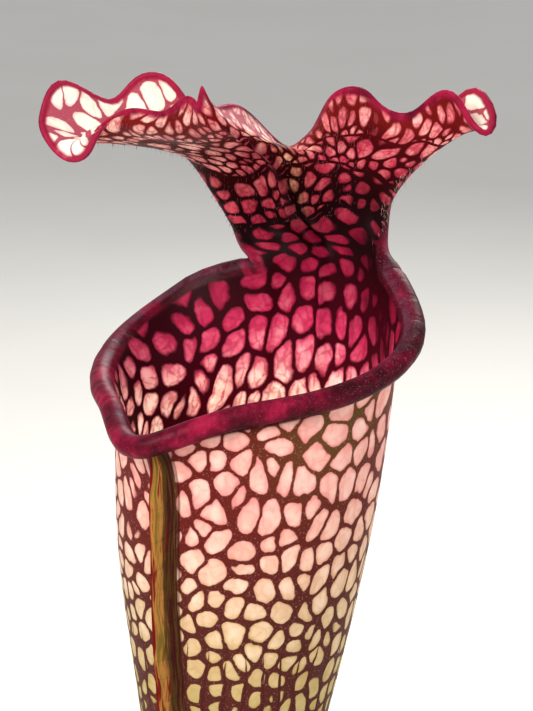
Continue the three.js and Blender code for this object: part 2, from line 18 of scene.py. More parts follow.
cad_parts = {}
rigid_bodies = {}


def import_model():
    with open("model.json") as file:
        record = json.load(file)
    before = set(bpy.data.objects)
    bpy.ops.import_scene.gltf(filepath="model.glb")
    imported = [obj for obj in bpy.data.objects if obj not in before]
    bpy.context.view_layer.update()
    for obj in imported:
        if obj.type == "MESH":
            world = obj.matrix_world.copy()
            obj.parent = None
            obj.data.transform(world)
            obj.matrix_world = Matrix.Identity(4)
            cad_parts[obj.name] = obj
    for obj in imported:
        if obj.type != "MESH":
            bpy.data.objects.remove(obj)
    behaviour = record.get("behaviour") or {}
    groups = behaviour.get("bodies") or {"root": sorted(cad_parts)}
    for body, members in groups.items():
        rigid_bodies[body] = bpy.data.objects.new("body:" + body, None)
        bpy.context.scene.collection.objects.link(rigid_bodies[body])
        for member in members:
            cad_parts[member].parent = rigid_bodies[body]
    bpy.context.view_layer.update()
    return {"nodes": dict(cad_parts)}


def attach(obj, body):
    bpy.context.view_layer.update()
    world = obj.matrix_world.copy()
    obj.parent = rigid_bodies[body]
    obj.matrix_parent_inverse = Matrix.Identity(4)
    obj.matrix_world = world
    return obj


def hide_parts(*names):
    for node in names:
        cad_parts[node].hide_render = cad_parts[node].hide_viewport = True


for starting_object in list(bpy.data.objects):
    bpy.data.objects.remove(starting_object)
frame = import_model()
print("nodes of the solid model:", sorted(frame["nodes"]))

# %% [markdown]
# ## Small helpers for shapes
# Shapes are computed in millimetres, because leaves are easier to think about in them, and turned into
# metres when a mesh is made. A few short functions do most of the work: a smooth step, a bump, a spline
# through chosen points and the triangles of a grid. They work on whole arrays, so no loop runs over points.

# %% Numbers and curves
MM = 0.001
MM_PER_METRE = 1000.0
TINY = 1e-12


def unit(vectors):
    """Each vector divided by its own length."""
    return vectors / np.linalg.norm(vectors, axis=-1, keepdims=True)


def dot(a, b):
    """Scalar product over the last axis, kept as a column."""
    return np.sum(a * b, axis=-1, keepdims=True)


def wrap(angle):
    """The same angle between -pi and pi."""
    return (angle + np.pi) % (2 * np.pi) - np.pi


def hump(angle, middle, width):
    """A bell round an angle: e to the minus (distance over width) squared."""
    return np.exp(-((wrap(angle - middle) / width) ** 2))


def bell(x, middle, width):
    """A bell on a line: e to the minus (distance over width) squared."""
    return np.exp(-(((x - middle) / width) ** 2))


def smooth(x, low, high):
    """0 below low and 1 above high, with t * t * (3 - 2 t) between."""
    t = np.clip((x - low) / (high - low), 0, 1)
    return t * t * (3 - 2 * t)


def spline(places, values, x):
    """The natural cubic spline through (place, value) pairs; a value may be any array.

    The second derivatives m solve the usual three-term system, with m = 0 at both ends.
    """
    places = np.asarray(places, float)
    values = np.asarray(values, float)
    flat = values.reshape(len(places), -1)
    n = len(places)
    step = np.diff(places)
    system = np.eye(n)
    known = np.zeros_like(flat)
    inside = np.arange(1, n - 1)
    system[inside, inside - 1] = step[:-1]
    system[inside, inside] = 2 * (step[:-1] + step[1:])
    system[inside, inside + 1] = step[1:]
    slopes = np.diff(flat, axis=0) / step[:, None]
    known[1:-1] = 6 * np.diff(slopes, axis=0)
    bend = np.linalg.solve(system, known)
    x = np.asarray(x, float)
    k = np.clip(np.searchsorted(places, x, side="right") - 1, 0, n - 2)
    h = step[k][..., None]
    b = (x - places[k])[..., None] / h
    a = 1 - b
    cubic = (a**3 - a) * bend[k] + (b**3 - b) * bend[k + 1]
    out = a * flat[k] + b * flat[k + 1] + cubic * h * h / 6
    return out.reshape(x.shape + values.shape[1:])


# %% Grids and bodies
def full_turn(count):
    """Evenly spaced angles round a circle; the last is one step short of the first."""
    return np.linspace(0, 2 * np.pi, count + 1)[:-1]


def circle(radius, count):
    """Points on a circle round the origin, as rows of x and y."""
    turn = full_turn(count)
    return radius * np.stack([np.cos(turn), np.sin(turn)], 1)


def sleeve(rows, around):
    """Two grids of the same shape: the place along a body, from 0 to 1, and the angle round it."""
    return np.meshgrid(np.linspace(0, 1, rows), full_turn(around), indexing="ij")


def squares(grid):
    """The four corners of every cell of a grid of point numbers."""
    corners = [grid[:-1, :-1], grid[:-1, 1:], grid[1:, 1:], grid[1:, :-1]]
    return np.stack(corners, -1).reshape(-1, 4)


def triangles(four):
    """Two triangles for each four-cornered face."""
    return np.concatenate([four[:, [0, 1, 2]], four[:, [0, 2, 3]]])


def closed(grid):
    """A grid of point numbers with its first column again at the end."""
    return np.concatenate([grid, grid[:, :1]], 1)


def fan(tip, first, second):
    """A triangle from one point to each pair of neighbours on a ring."""
    return np.stack([np.full(len(first), tip), first, second], 1)


def point_normals(points, faces):
    """At each point, the sum of its triangles' normals, each as long as its area, made one unit long."""
    a, b, c = (points[faces[:, i]] for i in range(3))
    normal = np.cross(b - a, c - a)
    total = np.zeros_like(points)
    for i in range(3):
        np.add.at(total, faces[:, i], normal)
    return unit(total + TINY)


def weld(points, faces):
    """Points that lie within a thousandth of a millimetre become one; triangles left without area go."""
    _, first, number = np.unique(np.round(points, 3), axis=0, return_index=True, return_inverse=True)
    faces = number.reshape(-1)[faces]
    whole = (faces[:, 0] != faces[:, 1]) & (faces[:, 1] != faces[:, 2]) & (faces[:, 2] != faces[:, 0])
    return points[first], faces[whole]


def turned(profile, around):
    """A profile of (radius, height) turned round the z axis; outside when the profile climbs."""
    turn = full_turn(around)
    radius, height = profile.T
    x = radius[:, None] * np.cos(turn)
    y = radius[:, None] * np.sin(turn)
    grid = np.stack([x, y, np.broadcast_to(height[:, None], x.shape)], -1)
    return grid, triangles(squares(closed(np.arange(x.size).reshape(x.shape))))


def curve(start, middle, finish, place):
    """The quadratic Bezier curve (1-t)^2 start + 2 t (1-t) middle + t^2 finish."""
    t = np.asarray(place)[:, None]
    return (1 - t) ** 2 * np.array(start) + 2 * t * (1 - t) * np.array(middle) + t**2 * np.array(finish)


def sweep(line, wide, across, through):
    """A closed body along a line; its ring is wide * across + (along x wide) * through, both of one turn."""
    along = unit(np.gradient(line, axis=0))
    wide = unit(wide - dot(along, np.broadcast_to(wide, along.shape)) * along)
    thick = np.cross(along, wide)
    rings = line[:, None] + wide[:, None] * across[..., None] + thick[:, None] * through[..., None]
    number = closed(np.arange(across.size).reshape(across.shape))
    first_end = fan(across.size, number[0, 1:], number[0, :-1])
    last_end = fan(across.size + 1, number[-1, :-1], number[-1, 1:])
    points = np.concatenate([rings.reshape(-1, 3), rings[0].mean(0)[None], rings[-1].mean(0)[None]])
    return points, np.concatenate([triangles(squares(number)), first_end, last_end])


def copies(faces, points_each, count):
    """The faces of one small shape, repeated for many copies whose points follow one another."""
    return (faces[None] + points_each * np.arange(count)[:, None, None]).reshape(-1, 3)


def together(parts):
    """Several (points, faces) as one."""
    shifts = np.cumsum([0] + [len(points) for points, _ in parts[:-1]])
    return (np.concatenate([points for points, _ in parts]),
            np.concatenate([faces + shift for (_, faces), shift in zip(parts, shifts)]))


def lattice_noise(x, y, cell, seed):
    """Random heights from 0 to 1 at the corners of squares, blended smoothly between them."""
    size = 97
    heights = np.random.default_rng(seed).random((size, size))
    u, v = x / cell, y / cell
    i, j = np.floor(u).astype(int), np.floor(v).astype(int)
    a, b = smooth(u - i, 0, 1), smooth(v - j, 0, 1)

    def at(di, dj):
        return heights[(i + di) % size, (j + dj) % size]

    low = at(0, 0) * (1 - a) + at(1, 0) * a
    return low * (1 - b) + (at(0, 1) * (1 - a) + at(1, 1) * a) * b

# %% [markdown]
# ## Making a piece
# A piece is one mesh object at the origin. It gets its points in metres, its faces, one number or colour
# per point for the material to read, and a UV map where a pattern follows the surface. It rides on the
# plant's only body and stands for a solid of the model.

# %% From arrays to a mesh
def colour(code):
    """A colour written as six hexadecimal digits, as linear red, green, blue and 1."""
    srgb = np.array([int(code[i : i + 2], 16) / 255 for i in (0, 2, 4)])
    linear = np.where(srgb <= 0.04045, srgb / 12.92, ((srgb + 0.055) / 1.055) ** 2.4)
    return (*linear, 1.0)


def add_object(name, data):
    """An object that holds the data, linked to the scene."""
    thing = bpy.data.objects.new(name, data)
    bpy.context.scene.collection.objects.link(thing)
    return thing


def make_piece(name, points, faces, material, slot, replaces=None,
               numbers=None, colours=None, uv=None, flat=False):
    """One mesh from points in millimetres; the uv map has one row for each corner of each face."""
    mesh = bpy.data.meshes.new(name)
    mesh.from_pydata((points * MM).tolist(), [], np.asarray(faces).tolist())
    if not flat:
        mesh.shade_smooth()
    for key, values in (numbers or {}).items():
        mesh.attributes.new(key, "FLOAT", "POINT").data.foreach_set("value", values.astype(np.float32))
    for key, values in (colours or {}).items():
        layer = mesh.attributes.new(key, "FLOAT_COLOR", "POINT")
        layer.data.foreach_set("color", values.astype(np.float32).ravel())
    if uv is not None:
        mesh.uv_layers.new(name="leaf").uv.foreach_set("vector", uv.astype(np.float32).ravel())
    mesh.materials.append(material)
    piece = add_object(name, mesh)
    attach(piece, "root")
    if replaces:
        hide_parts(replaces)
    print(f"{name}: {len(points)} points, {len(faces)} faces")
    return piece

# %% [markdown]
# ## Writing shader maths as Python
# A material is a graph of nodes. Joining nodes by hand is slow to read, so one small class wraps the output
# of a node, and adding or multiplying two of them adds the Math node that does it. Every other node comes
# from `Graph.node`, which takes the node's type, its settings and what goes into its sockets.

# %% The socket wrapper
class Value:
    """An output socket that can be added, multiplied and compared; each operation adds one Math node."""

    def __init__(self, graph, socket):
        self.graph = graph
        self.socket = socket

    def math(self, operation, *others):
        """A Math node with this value in its first socket."""
        inputs = {i: value for i, value in enumerate((self, *others))}
        return self.graph.node("ShaderNodeMath", {"operation": operation}, inputs)

    def __add__(self, other):
        return self.math("ADD", other)

    def __radd__(self, other):
        return self.math("ADD", other)

    def __sub__(self, other):
        return self.math("SUBTRACT", other)

    def __rsub__(self, other):
        return self.graph.node("ShaderNodeMath", {"operation": "SUBTRACT"}, {0: other, 1: self})

    def __mul__(self, other):
        return self.math("MULTIPLY", other)

    def __rmul__(self, other):
        return self.math("MULTIPLY", other)

    def __abs__(self):
        return self.math("ABSOLUTE")

    def __pow__(self, power):
        return self.math("POWER", power)

    def smallest(self, other):
        """The smaller of the two at every place."""
        return self.math("MINIMUM", other)

    def largest(self, other):
        """The larger of the two at every place."""
        return self.math("MAXIMUM", other)

    def ramp(self, low, high):
        """0 at low and below, 1 at high and above, smooth between; low may lie above high."""
        inputs = {"Value": self, "From Min": low, "From Max": high}
        return self.graph.node("ShaderNodeMapRange", {"interpolation_type": "SMOOTHSTEP"}, inputs)


# %% The graph of one material
class Graph:
    """The node graph of one material."""

    def __init__(self, name):
        self.material = bpy.data.materials.new(name)
        self.material.use_nodes = True
        self.tree = self.material.node_tree
        self.tree.nodes.clear()

    def node(self, kind, settings=None, inputs=None, output=0):
        """Adds a node; settings are set first, then each input gets a link or a plain value."""
        node = self.tree.nodes.new(kind)
        for key, value in (settings or {}).items():
            setattr(node, key, value)
        for key, value in (inputs or {}).items():
            if isinstance(value, Value):
                self.tree.links.new(value.socket, node.inputs[key])
            else:
                node.inputs[key].default_value = value
        return Value(self, node.outputs[output]) if node.outputs else None

    def place(self):
        """Object coordinates, in metres."""
        return self.node("ShaderNodeTexCoord", output="Object")

    def number(self, name):
        """A number kept at each point of the mesh."""
        return self.node("ShaderNodeAttribute", {"attribute_name": name}, output="Fac")

    def point_colour(self, name):
        """A colour kept at each point of the mesh."""
        return self.node("ShaderNodeAttribute", {"attribute_name": name}, output="Color")

    def noise(self, at, scale, detail=3.0, roughness=0.5, output="Fac"):
        """Cloudy noise between 0 and 1; scale counts features per metre."""
        inputs = {"Vector": at, "Scale": scale, "Detail": detail, "Roughness": roughness}
        return self.node("ShaderNodeTexNoise", None, inputs, output)

    def mix(self, first, second, share):
        """The first colour where share is 0, the second where it is 1; a colour may be given by its code."""
        first, second = (colour(c) if isinstance(c, str) else c for c in (first, second))
        settings = {"data_type": "RGBA", "clamp_factor": True}
        return self.node("ShaderNodeMix", settings, {0: share, 6: first, 7: second}, 2)

    def layers(self, base, *layers):
        """Lays one colour after another over the base; each layer is (colour, share)."""
        for over, share in layers:
            base = self.mix(base, over, share)
        return base

    def part(self, vector, axis):
        """One of a vector's three parts."""
        return self.node("ShaderNodeSeparateXYZ", None, {0: vector}, axis)

    def join(self, x, y, z=0.0):
        """A vector from three numbers."""
        return self.node("ShaderNodeCombineXYZ", None, {0: x, 1: y, 2: z})

    def stretched(self, at, scale, turn=0.0):
        """A place turned about z and scaled along each axis; noise is drawn out where the scale is small."""
        inputs = {"Vector": at, "Rotation": (0.0, 0.0, turn), "Scale": scale}
        return self.node("ShaderNodeMapping", None, inputs)

    def bump(self, height, distance, strength=1.0):
        """A normal tilted by a height map; distance is the height of 1, in metres."""
        inputs = {"Height": height, "Distance": distance, "Strength": strength}
        return self.node("ShaderNodeBump", None, inputs)

    def finish(self, **sockets):
        """The surface shader; what is passed by name goes to its socket."""
        inputs = {name.replace("_", " "): value for name, value in sockets.items()}
        shader = self.node("ShaderNodeBsdfPrincipled", None, inputs)
        self.node("ShaderNodeOutputMaterial", None, {"Surface": shader})
        return self.material

# %% [markdown]
# ## The pitcher's surface
# A pitcher leaf is one sheet. Its lower part is a tube whose mouth lies on a slanting plane, and the sheet
# goes on above the back of the mouth as a column that fans out into the lid. It could be sculpted, but
# formulas are easier to measure and to change, and they keep column and tube in one piece. Two functions
# describe it: `wall` gives the tube by the angle round it and the depth below the mouth, and `lid` gives
# column and lid by the place across and the height. They share the mouth's edge. Angles run round the mouth
# from the spout in front, over the viewer's right, to the back.

# %% Where the mouth lies
RAD = math.pi / 180
# the mouth's place over the pot's foot; all other places of the leaf are given from the mouth
MOUTH = np.array([0.0, -14.0, 332.0])
FOOT = np.array([-13.0, 5.0, -226.0])
TUBE_LENGTH = 222.0
HOLLOW_DEPTH = 190.0
MOUTH_MIDDLE = np.array([-3.4, 0.0, -1.0])
PLANT_FRONT = np.array([-math.sin(37 * RAD), -math.cos(37 * RAD), 0.0])
MOUTH_NORMAL = unit(np.array([-math.sin(15.5 * RAD), -math.sin(15.5 * RAD), math.cos(15.5 * RAD)]))
mouth_front = unit(PLANT_FRONT - dot(PLANT_FRONT, MOUTH_NORMAL) * MOUTH_NORMAL)
mouth_side = np.cross(MOUTH_NORMAL, mouth_front)
LEFT_CORNER, RIGHT_CORNER, BACK = 214 * RAD, 149 * RAD, 182 * RAD
THICKNESS = 0.9
LIP_ROLL, LID_ROLL = 2.1, 0.55
CM = 10
FAR = 99
WING_ZONE = 12
FLARE_LENGTH = 4.4

TUBE_RADIUS = np.array([
    [0, 23.5], [12, 23.4], [23, 22.3], [34, 20.3], [45, 17.9], [57, 15.4], [80, 11.8],
    [100, 9.7], [130, 7.5], [165, 5.9], [200, 5.0], [222, 5.4],
])


def tube_radius(depth):
    """Radius of the tube at a depth below the mouth."""
    return spline(TUBE_RADIUS[:, 0], TUBE_RADIUS[:, 1], depth)


def mouth_radius(angle):
    """28.3 less 2.9 cos a, 1.8 cos 2a and plus 1.9 cos 3a, with bumps for the spout and small dents."""
    round_part = 28.3 - 2.9 * np.cos(angle) - 1.8 * np.cos(2 * angle) + 1.9 * np.cos(3 * angle)
    spout = 4.6 * hump(angle, 0, 20 * RAD) + 1.2 * hump(angle, 0, 8 * RAD)
    right_side = 1.4 * hump(angle, 156 * RAD, 16 * RAD) - hump(angle, 130 * RAD, 18 * RAD)
    left_side = -1.5 * hump(angle, 235 * RAD, 36 * RAD) - 0.9 * hump(angle, 285 * RAD, 34 * RAD)
    return round_part + spout + right_side + left_side - 0.8 * hump(angle, -20 * RAD, 18 * RAD) - 1.35


def mouth_height(angle):
    """Height of the edge above the mouth's plane: 1.4 cos 2a, and 2.4 more where it climbs to the column."""
    climb = 1 - smooth(np.abs(wrap(angle - BACK)), 33 * RAD, 75 * RAD)
    return 1.4 * np.cos(2 * angle) + 2.4 * climb**2


def lip_point(angle):
    """The mouth's edge at an angle: mouth_radius out and mouth_height up, and 1.6 mm more for the roll."""
    across = np.cos(angle)[..., None] * mouth_front + np.sin(angle)[..., None] * mouth_side
    up = (mouth_height(angle) + 1.6)[..., None] * MOUTH_NORMAL
    return MOUTH_MIDDLE + mouth_radius(angle)[..., None] * across + up


mouth_edge = lip_point(full_turn(72))
print("mouth:", round(float(np.ptp(mouth_edge @ mouth_side)), 1), "mm wide and",
      round(float(np.ptp(mouth_edge @ mouth_front)), 1), "mm from front to back")


# %% The tube
def tube_ring(angle, depth):
    """Points of a round tube along a Bezier curve, and the curve's upward direction there."""
    p0 = np.array([-0.2, -1.0, -5.0])
    p1 = p0 - TUBE_LENGTH * 0.45 * np.array([0.066, 0.0, 1.0])
    p2 = FOOT + np.array([0.0, -4.0, TUBE_LENGTH * 0.3])
    t = (depth / TUBE_LENGTH)[..., None]
    middle = (1 - t) ** 3 * p0 + 3 * (1 - t) ** 2 * t * p1 + 3 * (1 - t) * t**2 * p2 + t**3 * FOOT
    down = (1 - t) ** 2 * (p1 - p0) + 2 * (1 - t) * t * (p2 - p1) + t**2 * (FOOT - p2)
    up = unit(-down)
    front = unit(PLANT_FRONT - dot(up, PLANT_FRONT) * up)
    side = np.cross(up, front)
    across = np.cos(angle)[..., None] * front + np.sin(angle)[..., None] * side
    return middle + tube_radius(depth)[..., None] * across, up


def wall(angle, depth):
    """Rings square to the tube low down, slid along it near the top until they lie in the mouth's plane.

    The wall also flares out to the lip by e to the minus depth over 4.4.
    """
    angle, depth = np.broadcast_arrays(angle, depth)
    ring, up = tube_ring(angle, depth)
    top, top_up = tube_ring(angle[:1], np.zeros_like(angle[:1]))
    below = mouth_height(angle[:1])[..., None] - dot(top - MOUTH_MIDDLE, MOUTH_NORMAL)
    slide = below / dot(top_up, MOUTH_NORMAL)
    share = 0.12 + 0.88 * smooth(np.abs(wrap(angle[:1] - BACK)), 24 * RAD, 52 * RAD)
    outwards = (lip_point(angle[:1]) - (top + slide * top_up)) * share[..., None]
    fade = (1 - smooth(depth, 2, 55))[..., None]
    return ring + slide * fade * up + outwards * np.exp(-depth / FLARE_LENGTH)[..., None]

# %% [markdown]
# The lid's shape can't be caught in one formula, because it curls and ruffles freely. So four lines across
# it are given by a few points each, from the viewer's left edge (-1) over the midrib (0) to the right edge
# (1). A spline runs along each line, and another one climbs from the tube's wall through all four.

# %% Column and lid
WAIST = np.array([
    [-1, -4, 29, 15], [-0.85, -3.5, 26, 16], [-0.5, 0.4, 25.3, 17], [-0.12, 5.7, 23.4, 18.7],
    [0, 6.9, 21.9, 19.5], [0.12, 8.1, 23, 19.1], [0.5, 15, 20, 20.5], [0.85, 22, 15.5, 20.4],
    [1, 23.8, 17.4, 19.4],
])
SHOULDER = np.array([
    [-1, -8.5, 35, 30], [-0.9, -12, 30, 29.2], [-0.8, -12.6, 27, 29.3], [-0.5, -6, 23.4, 28.3],
    [-0.12, 0.7, 21, 30.5], [0, 3.2, 19.4, 30.8], [0.12, 6, 21, 30.2], [0.5, 15, 17, 31.7],
    [0.8, 23.7, 14, 29.4], [0.92, 26.6, 16.6, 27.4], [1, 26, 21, 27.8],
])
MID_LID = np.array([
    [-1, -13, 36, 36.2], [-0.86, -21, 32, 35.6], [-0.7, -30, 27, 33.6], [-0.56, -29.6, 22, 34],
    [-0.4, -24, 17.4, 36.4], [-0.24, -15.6, 13, 36.4], [-0.1, -8.4, 9, 37.9], [0, -4.5, 7.1, 38.9],
    [0.1, 0.6, 14, 36.5], [0.24, 4.5, 23, 33.2], [0.36, 8.3, 23, 32.6], [0.44, 11.7, 17, 36.7],
    [0.54, 15.3, 12, 39], [0.62, 20, 10.5, 39.3], [0.7, 25.4, 10.5, 37], [0.8, 32, 8, 38.3],
    [0.88, 36.2, 7, 38.1], [0.95, 34.8, 12, 37.6], [1, 30.8, 18, 35.5],
])
MARGIN = np.array([
    [-1, -13.3, 35, 39.4], [-0.945, -17.6, 36, 43.7], [-0.89, -23, 36, 43], [-0.83, -28.4, 34, 39.1],
    [-0.77, -36.5, 32, 43.2], [-0.71, -40, 29, 38.8], [-0.65, -39.8, 26, 34.9], [-0.58, -35.2, 22, 31.1],
    [-0.52, -31.1, 20, 32.7], [-0.46, -28.8, 18, 37.8], [-0.4, -24.4, 15, 41.2], [-0.3, -17.8, 9, 41.8],
    [-0.15, -12.2, 3.5, 45.1], [-0.018, -9.9, 1.2, 46.4], [0, -9.5, 0.8, 48], [0.018, -9, 2.2, 46.2],
    [0.1, -4.6, 11, 43], [0.19, 0.6, 20, 37.9], [0.28, 5.3, 28, 32.2], [0.35, 7.8, 28, 33.3],
    [0.42, 10.1, 22, 37], [0.49, 12.6, 13, 43.4], [0.55, 15.5, 8, 46], [0.61, 19.4, 8, 45.5],
    [0.66, 22.7, 10, 42.4], [0.7, 26.4, 10, 41.2], [0.74, 29.4, 7, 43.4], [0.78, 32.1, 4, 46],
    [0.82, 34.7, 2, 45.6], [0.86, 37.4, 1, 41.3], [0.9, 40.9, 0, 39.6], [0.93, 42.2, 3, 42.5],
    [0.96, 39.9, 8, 46], [1, 35, 14, 41.9],
])
LINE_HEIGHTS = [-0.9, 0, 1.15, 2.3, 3.7, 5]
LID_TOP = LINE_HEIGHTS[-1]
COLUMN_MIDDLE = 187 * RAD


def column_angle(across):
    """187 degrees less 32.5 u and 5.5 u squared, for the place across u from -1 to 1."""
    return COLUMN_MIDDLE - 32.5 * RAD * across - 5.5 * RAD * across**2


def lid(across, height):
    """Splines through the wall at 9 mm and 0 mm depth and the four lines, at every place across."""
    start = wall(column_angle(across)[None, :], np.array([[9.0], [0.0]]))
    lines = [spline(line[:, 0], line[:, 1:], across) for line in (WAIST, SHOULDER, MID_LID, MARGIN)]
    return spline(LINE_HEIGHTS, np.stack([*start, *lines]), height)


margin_line = lid(np.linspace(-1, 1, 81), [LID_TOP])[0]
print("lid:", round(float(np.ptp(margin_line[:, 0])), 1), "mm wide, its margin up to",
      round(float(margin_line[:, 2].max()), 1), "mm above the mouth")

# %% [markdown]
# ## From surface to leaf
# The real leaf is about a millimetre thick, and its free edge rolls over: widely at the lip, hardly at all
# at the lid's margin. So the mesh has an inner sheet, an outer sheet one thickness behind it, and a rolled
# edge that joins the two all the way round. Solidify could give the thickness, but not a roll that changes
# along the edge. The inner sheet also gets the keel, a sharp ridge that climbs the column, and the outer
# one gets the wing. Each point remembers how high it sits along the leaf, which side it is on and how far
# it is from the edge; the materials paint by these. The UV map counts cells of the vein network round the
# leaf and upwards.

# %% Columns, the keel and the wing
CELLS_ROUND = 36
CELL_STEP = 2 * np.pi / CELLS_ROUND
BRANCH_HEIGHTS = [1.3, 2.2, 3.3]
FORK_SHARE = 0.35


def free_angles(count):
    """Angles of the free lip, crowded near the spout by t -> 0.42 t + 0.58 t cubed."""
    t = np.linspace(-1, 1, count + 1)[1:-1]
    eased = 0.42 * t + 0.58 * t**3
    return np.where(eased < 0, -eased * RIGHT_CORNER, eased * (LEFT_CORNER - 2 * np.pi))


WING = np.array([
    [0, 0], [3, 0.6], [7, 3.2], [13, 4.1], [25, 4.2], [60, 4.2], [110, 4.6], [190, 2.5], [222, 0.5],
])


def wing_height(angle, depth):
    """The wing on the front of the tube: a ridge e to the minus (arc over 1.1 mm) to the 1.5."""
    rise = spline(WING[:, 0], WING[:, 1:], depth)[..., 0]
    arc = np.abs(wrap(angle)) * tube_radius(depth)
    return rise * np.exp(-((arc / 1.1) ** 1.5))


def ridges(angle, climb, width):
    """Folds of the column, as heights in mm: the sharp keel near its middle and a soft fold at its left edge.

    climb is minus the depth in the tube and ten times the height on the lid; width is one radian's arc in mm.
    """
    keel_run = smooth(climb, -34, -8) * (1 - smooth(climb, 30, 44))
    keel = 1.5 * keel_run * np.exp(-((np.abs(wrap(angle - COLUMN_MIDDLE)) * width / 1.15) ** 1.4))
    fold_run = smooth(climb, -22, -4) * (1 - smooth(climb, 8, 16))
    fold = 0.8 * fold_run * np.exp(-((wrap(angle - 213 * RAD) * width / 1.6) ** 2))
    return keel + fold


# %% How long the windows are
STRETCH_INSIDE = np.array([
    [-222, 1.5], [-60, 1.2], [-30, 1.1], [-8, 0.95], [1, 0.72], [12, 0.66], [20, 0.95], [34, 1.4], [50, 1.7],
])
STRETCH_OUTSIDE = np.array([
    [-222, 1.8], [-110, 1.6], [-60, 1.15], [-20, 0.95], [0, 0.85], [12, 0.7], [20, 1.0], [34, 1.7], [50, 2.1],
])


# %% The inner sheet
def inner_sheet(column_cells, lip_cells, depths, lid_rows):
    """The tube's grid, closed round, and the lid's grid, which has two columns for each of the tube's.

    Each point gets its angle round the mouth, its climb, and the length of one radian's arc there, its width.
    """
    angles = np.concatenate([column_angle(np.linspace(-1, 1, column_cells + 1)), free_angles(lip_cells)])
    halves = np.linspace(-1, 1, 2 * column_cells + 1)
    heights = np.linspace(0, LID_TOP, lid_rows + 1)
    depths = depths[::-1]
    tube = wall(angles[None, :], depths[:, None])
    lid_grid = lid(halves, heights[1:])
    middles = 0.5 * (tube[-1, :column_cells] + tube[-1, 1 : column_cells + 1])
    points = np.concatenate([tube.reshape(-1, 3), middles, lid_grid.reshape(-1, 3)])

    # the lid's lowest row is the edge of the mouth at the column, with a new point in the middle of each step
    tube_ids = np.arange(tube.shape[0] * len(angles)).reshape(-1, len(angles))
    middle_ids = tube_ids.size + np.arange(column_cells)
    lid_ids = np.arange(len(points) - (lid_rows + 1) * len(halves), len(points)).reshape(lid_rows + 1, -1)
    lid_ids[0, 0::2] = tube_ids[-1, : column_cells + 1]
    lid_ids[0, 1::2] = middle_ids

    # triangles that face into the tube: the stalk, the throat's wall and its top row, which is split, the lid
    ring = closed(tube_ids)
    hollow = int(np.argmax(depths <= HOLLOW_DEPTH))
    stalk = triangles(squares(ring[: hollow + 1]))
    last = squares(ring[-2:])
    a, b, c, d = last[:column_cells].T
    split = [np.stack(t, 1) for t in ((a, b, middle_ids), (a, middle_ids, d), (b, c, middle_ids))]
    throat = [triangles(squares(ring[hollow:-1])), triangles(last[column_cells:]), *split]
    throat = np.concatenate([*throat, triangles(squares(lid_ids))])

    lid_angles = column_angle(halves)
    row_length = np.linalg.norm(np.diff(lid_grid, axis=1), axis=2).sum(1)
    spread = np.concatenate([[tube_radius(0.0)], row_length / (column_angle(-1) - column_angle(1))])

    def by_row(in_tube, at_middles, in_lid):
        """One number for each row, given to all of its points."""
        tube_part = np.repeat(in_tube, len(angles))
        lid_part = np.repeat(in_lid, len(halves))
        return np.concatenate([tube_part, np.full(column_cells, at_middles), lid_part])

    return SimpleNamespace(
        points=points, tube_ids=tube_ids, lid_ids=lid_ids, ring=ring, hollow=hollow, throat=throat,
        faces=np.concatenate([stalk, throat]), depths=depths, heights=heights, spread=spread,
        angle=np.concatenate([np.tile(angles, len(depths)), lid_angles[1::2], np.tile(lid_angles, lid_rows)]),
        climb=by_row(-depths, 0.0, heights[1:] * CM),
        width=by_row(tube_radius(depths), spread[0], spread[1:]), by_row=by_row,
    )


def cells_upwards(sheet, stretch):
    """Steps along the leaf over the local size of a cell, added up from the mouth downwards and upwards."""
    fine = np.linspace(0, TUBE_LENGTH, 400)
    steps = np.gradient(fine) / (tube_radius(fine) * CELL_STEP * np.interp(-fine, *stretch.T))
    below = np.interp(sheet.depths, fine, np.cumsum(steps) - steps[0])
    branches = 1 + sum(2**i * smooth(sheet.heights, h - 0.2, h + 0.2) for i, h in enumerate(BRANCH_HEIGHTS))
    apart = sheet.spread * CELL_STEP / branches * np.interp(sheet.heights * CM, *stretch.T)
    climbed = np.linalg.norm(np.diff(sheet.points[sheet.lid_ids], axis=0), axis=2)
    above = np.cumsum(climbed / (0.5 * (apart[1:] + apart[:-1]))[:, None], axis=0)
    cells = sheet.by_row(-below, 0.0, np.zeros(len(above)))
    cells[-above.size :] = above.ravel()
    return cells


# %% The free edge
def free_edge(sheet, points, inwards):
    """Point numbers of the edge all the way round, and two directions at each.

    One leads on past the edge in the leaf's own surface, the other out of the leaf's back.
    """
    tube_ids, lid_ids = sheet.tube_ids, sheet.lid_ids
    lip = slice(lid_ids.shape[1] // 2, None)
    edge = np.concatenate([lid_ids[:-1, 0], lid_ids[-1, :-1], lid_ids[:0:-1, -1], tube_ids[-1, lip]])
    next_in = np.concatenate([
        tube_ids[-2, :1], lid_ids[1:-1, 1], lid_ids[-2, 1:2], lid_ids[-2, 1:-1], lid_ids[-2, -2:-1],
        lid_ids[-2:0:-1, -2], tube_ids[-2, lip],
    ])
    here = points[edge]
    along = unit(np.roll(here, -1, 0) - np.roll(here, 1, 0))
    onwards = np.cross(along, inwards[edge])
    onwards *= np.sign(dot(onwards, here - points[next_in]))
    for _ in range(2):
        onwards = unit(2 * onwards + np.roll(onwards, 1, 0) + np.roll(onwards, -1, 0))
    return edge, onwards, -unit(inwards[edge] - dot(inwards[edge], onwards) * onwards)


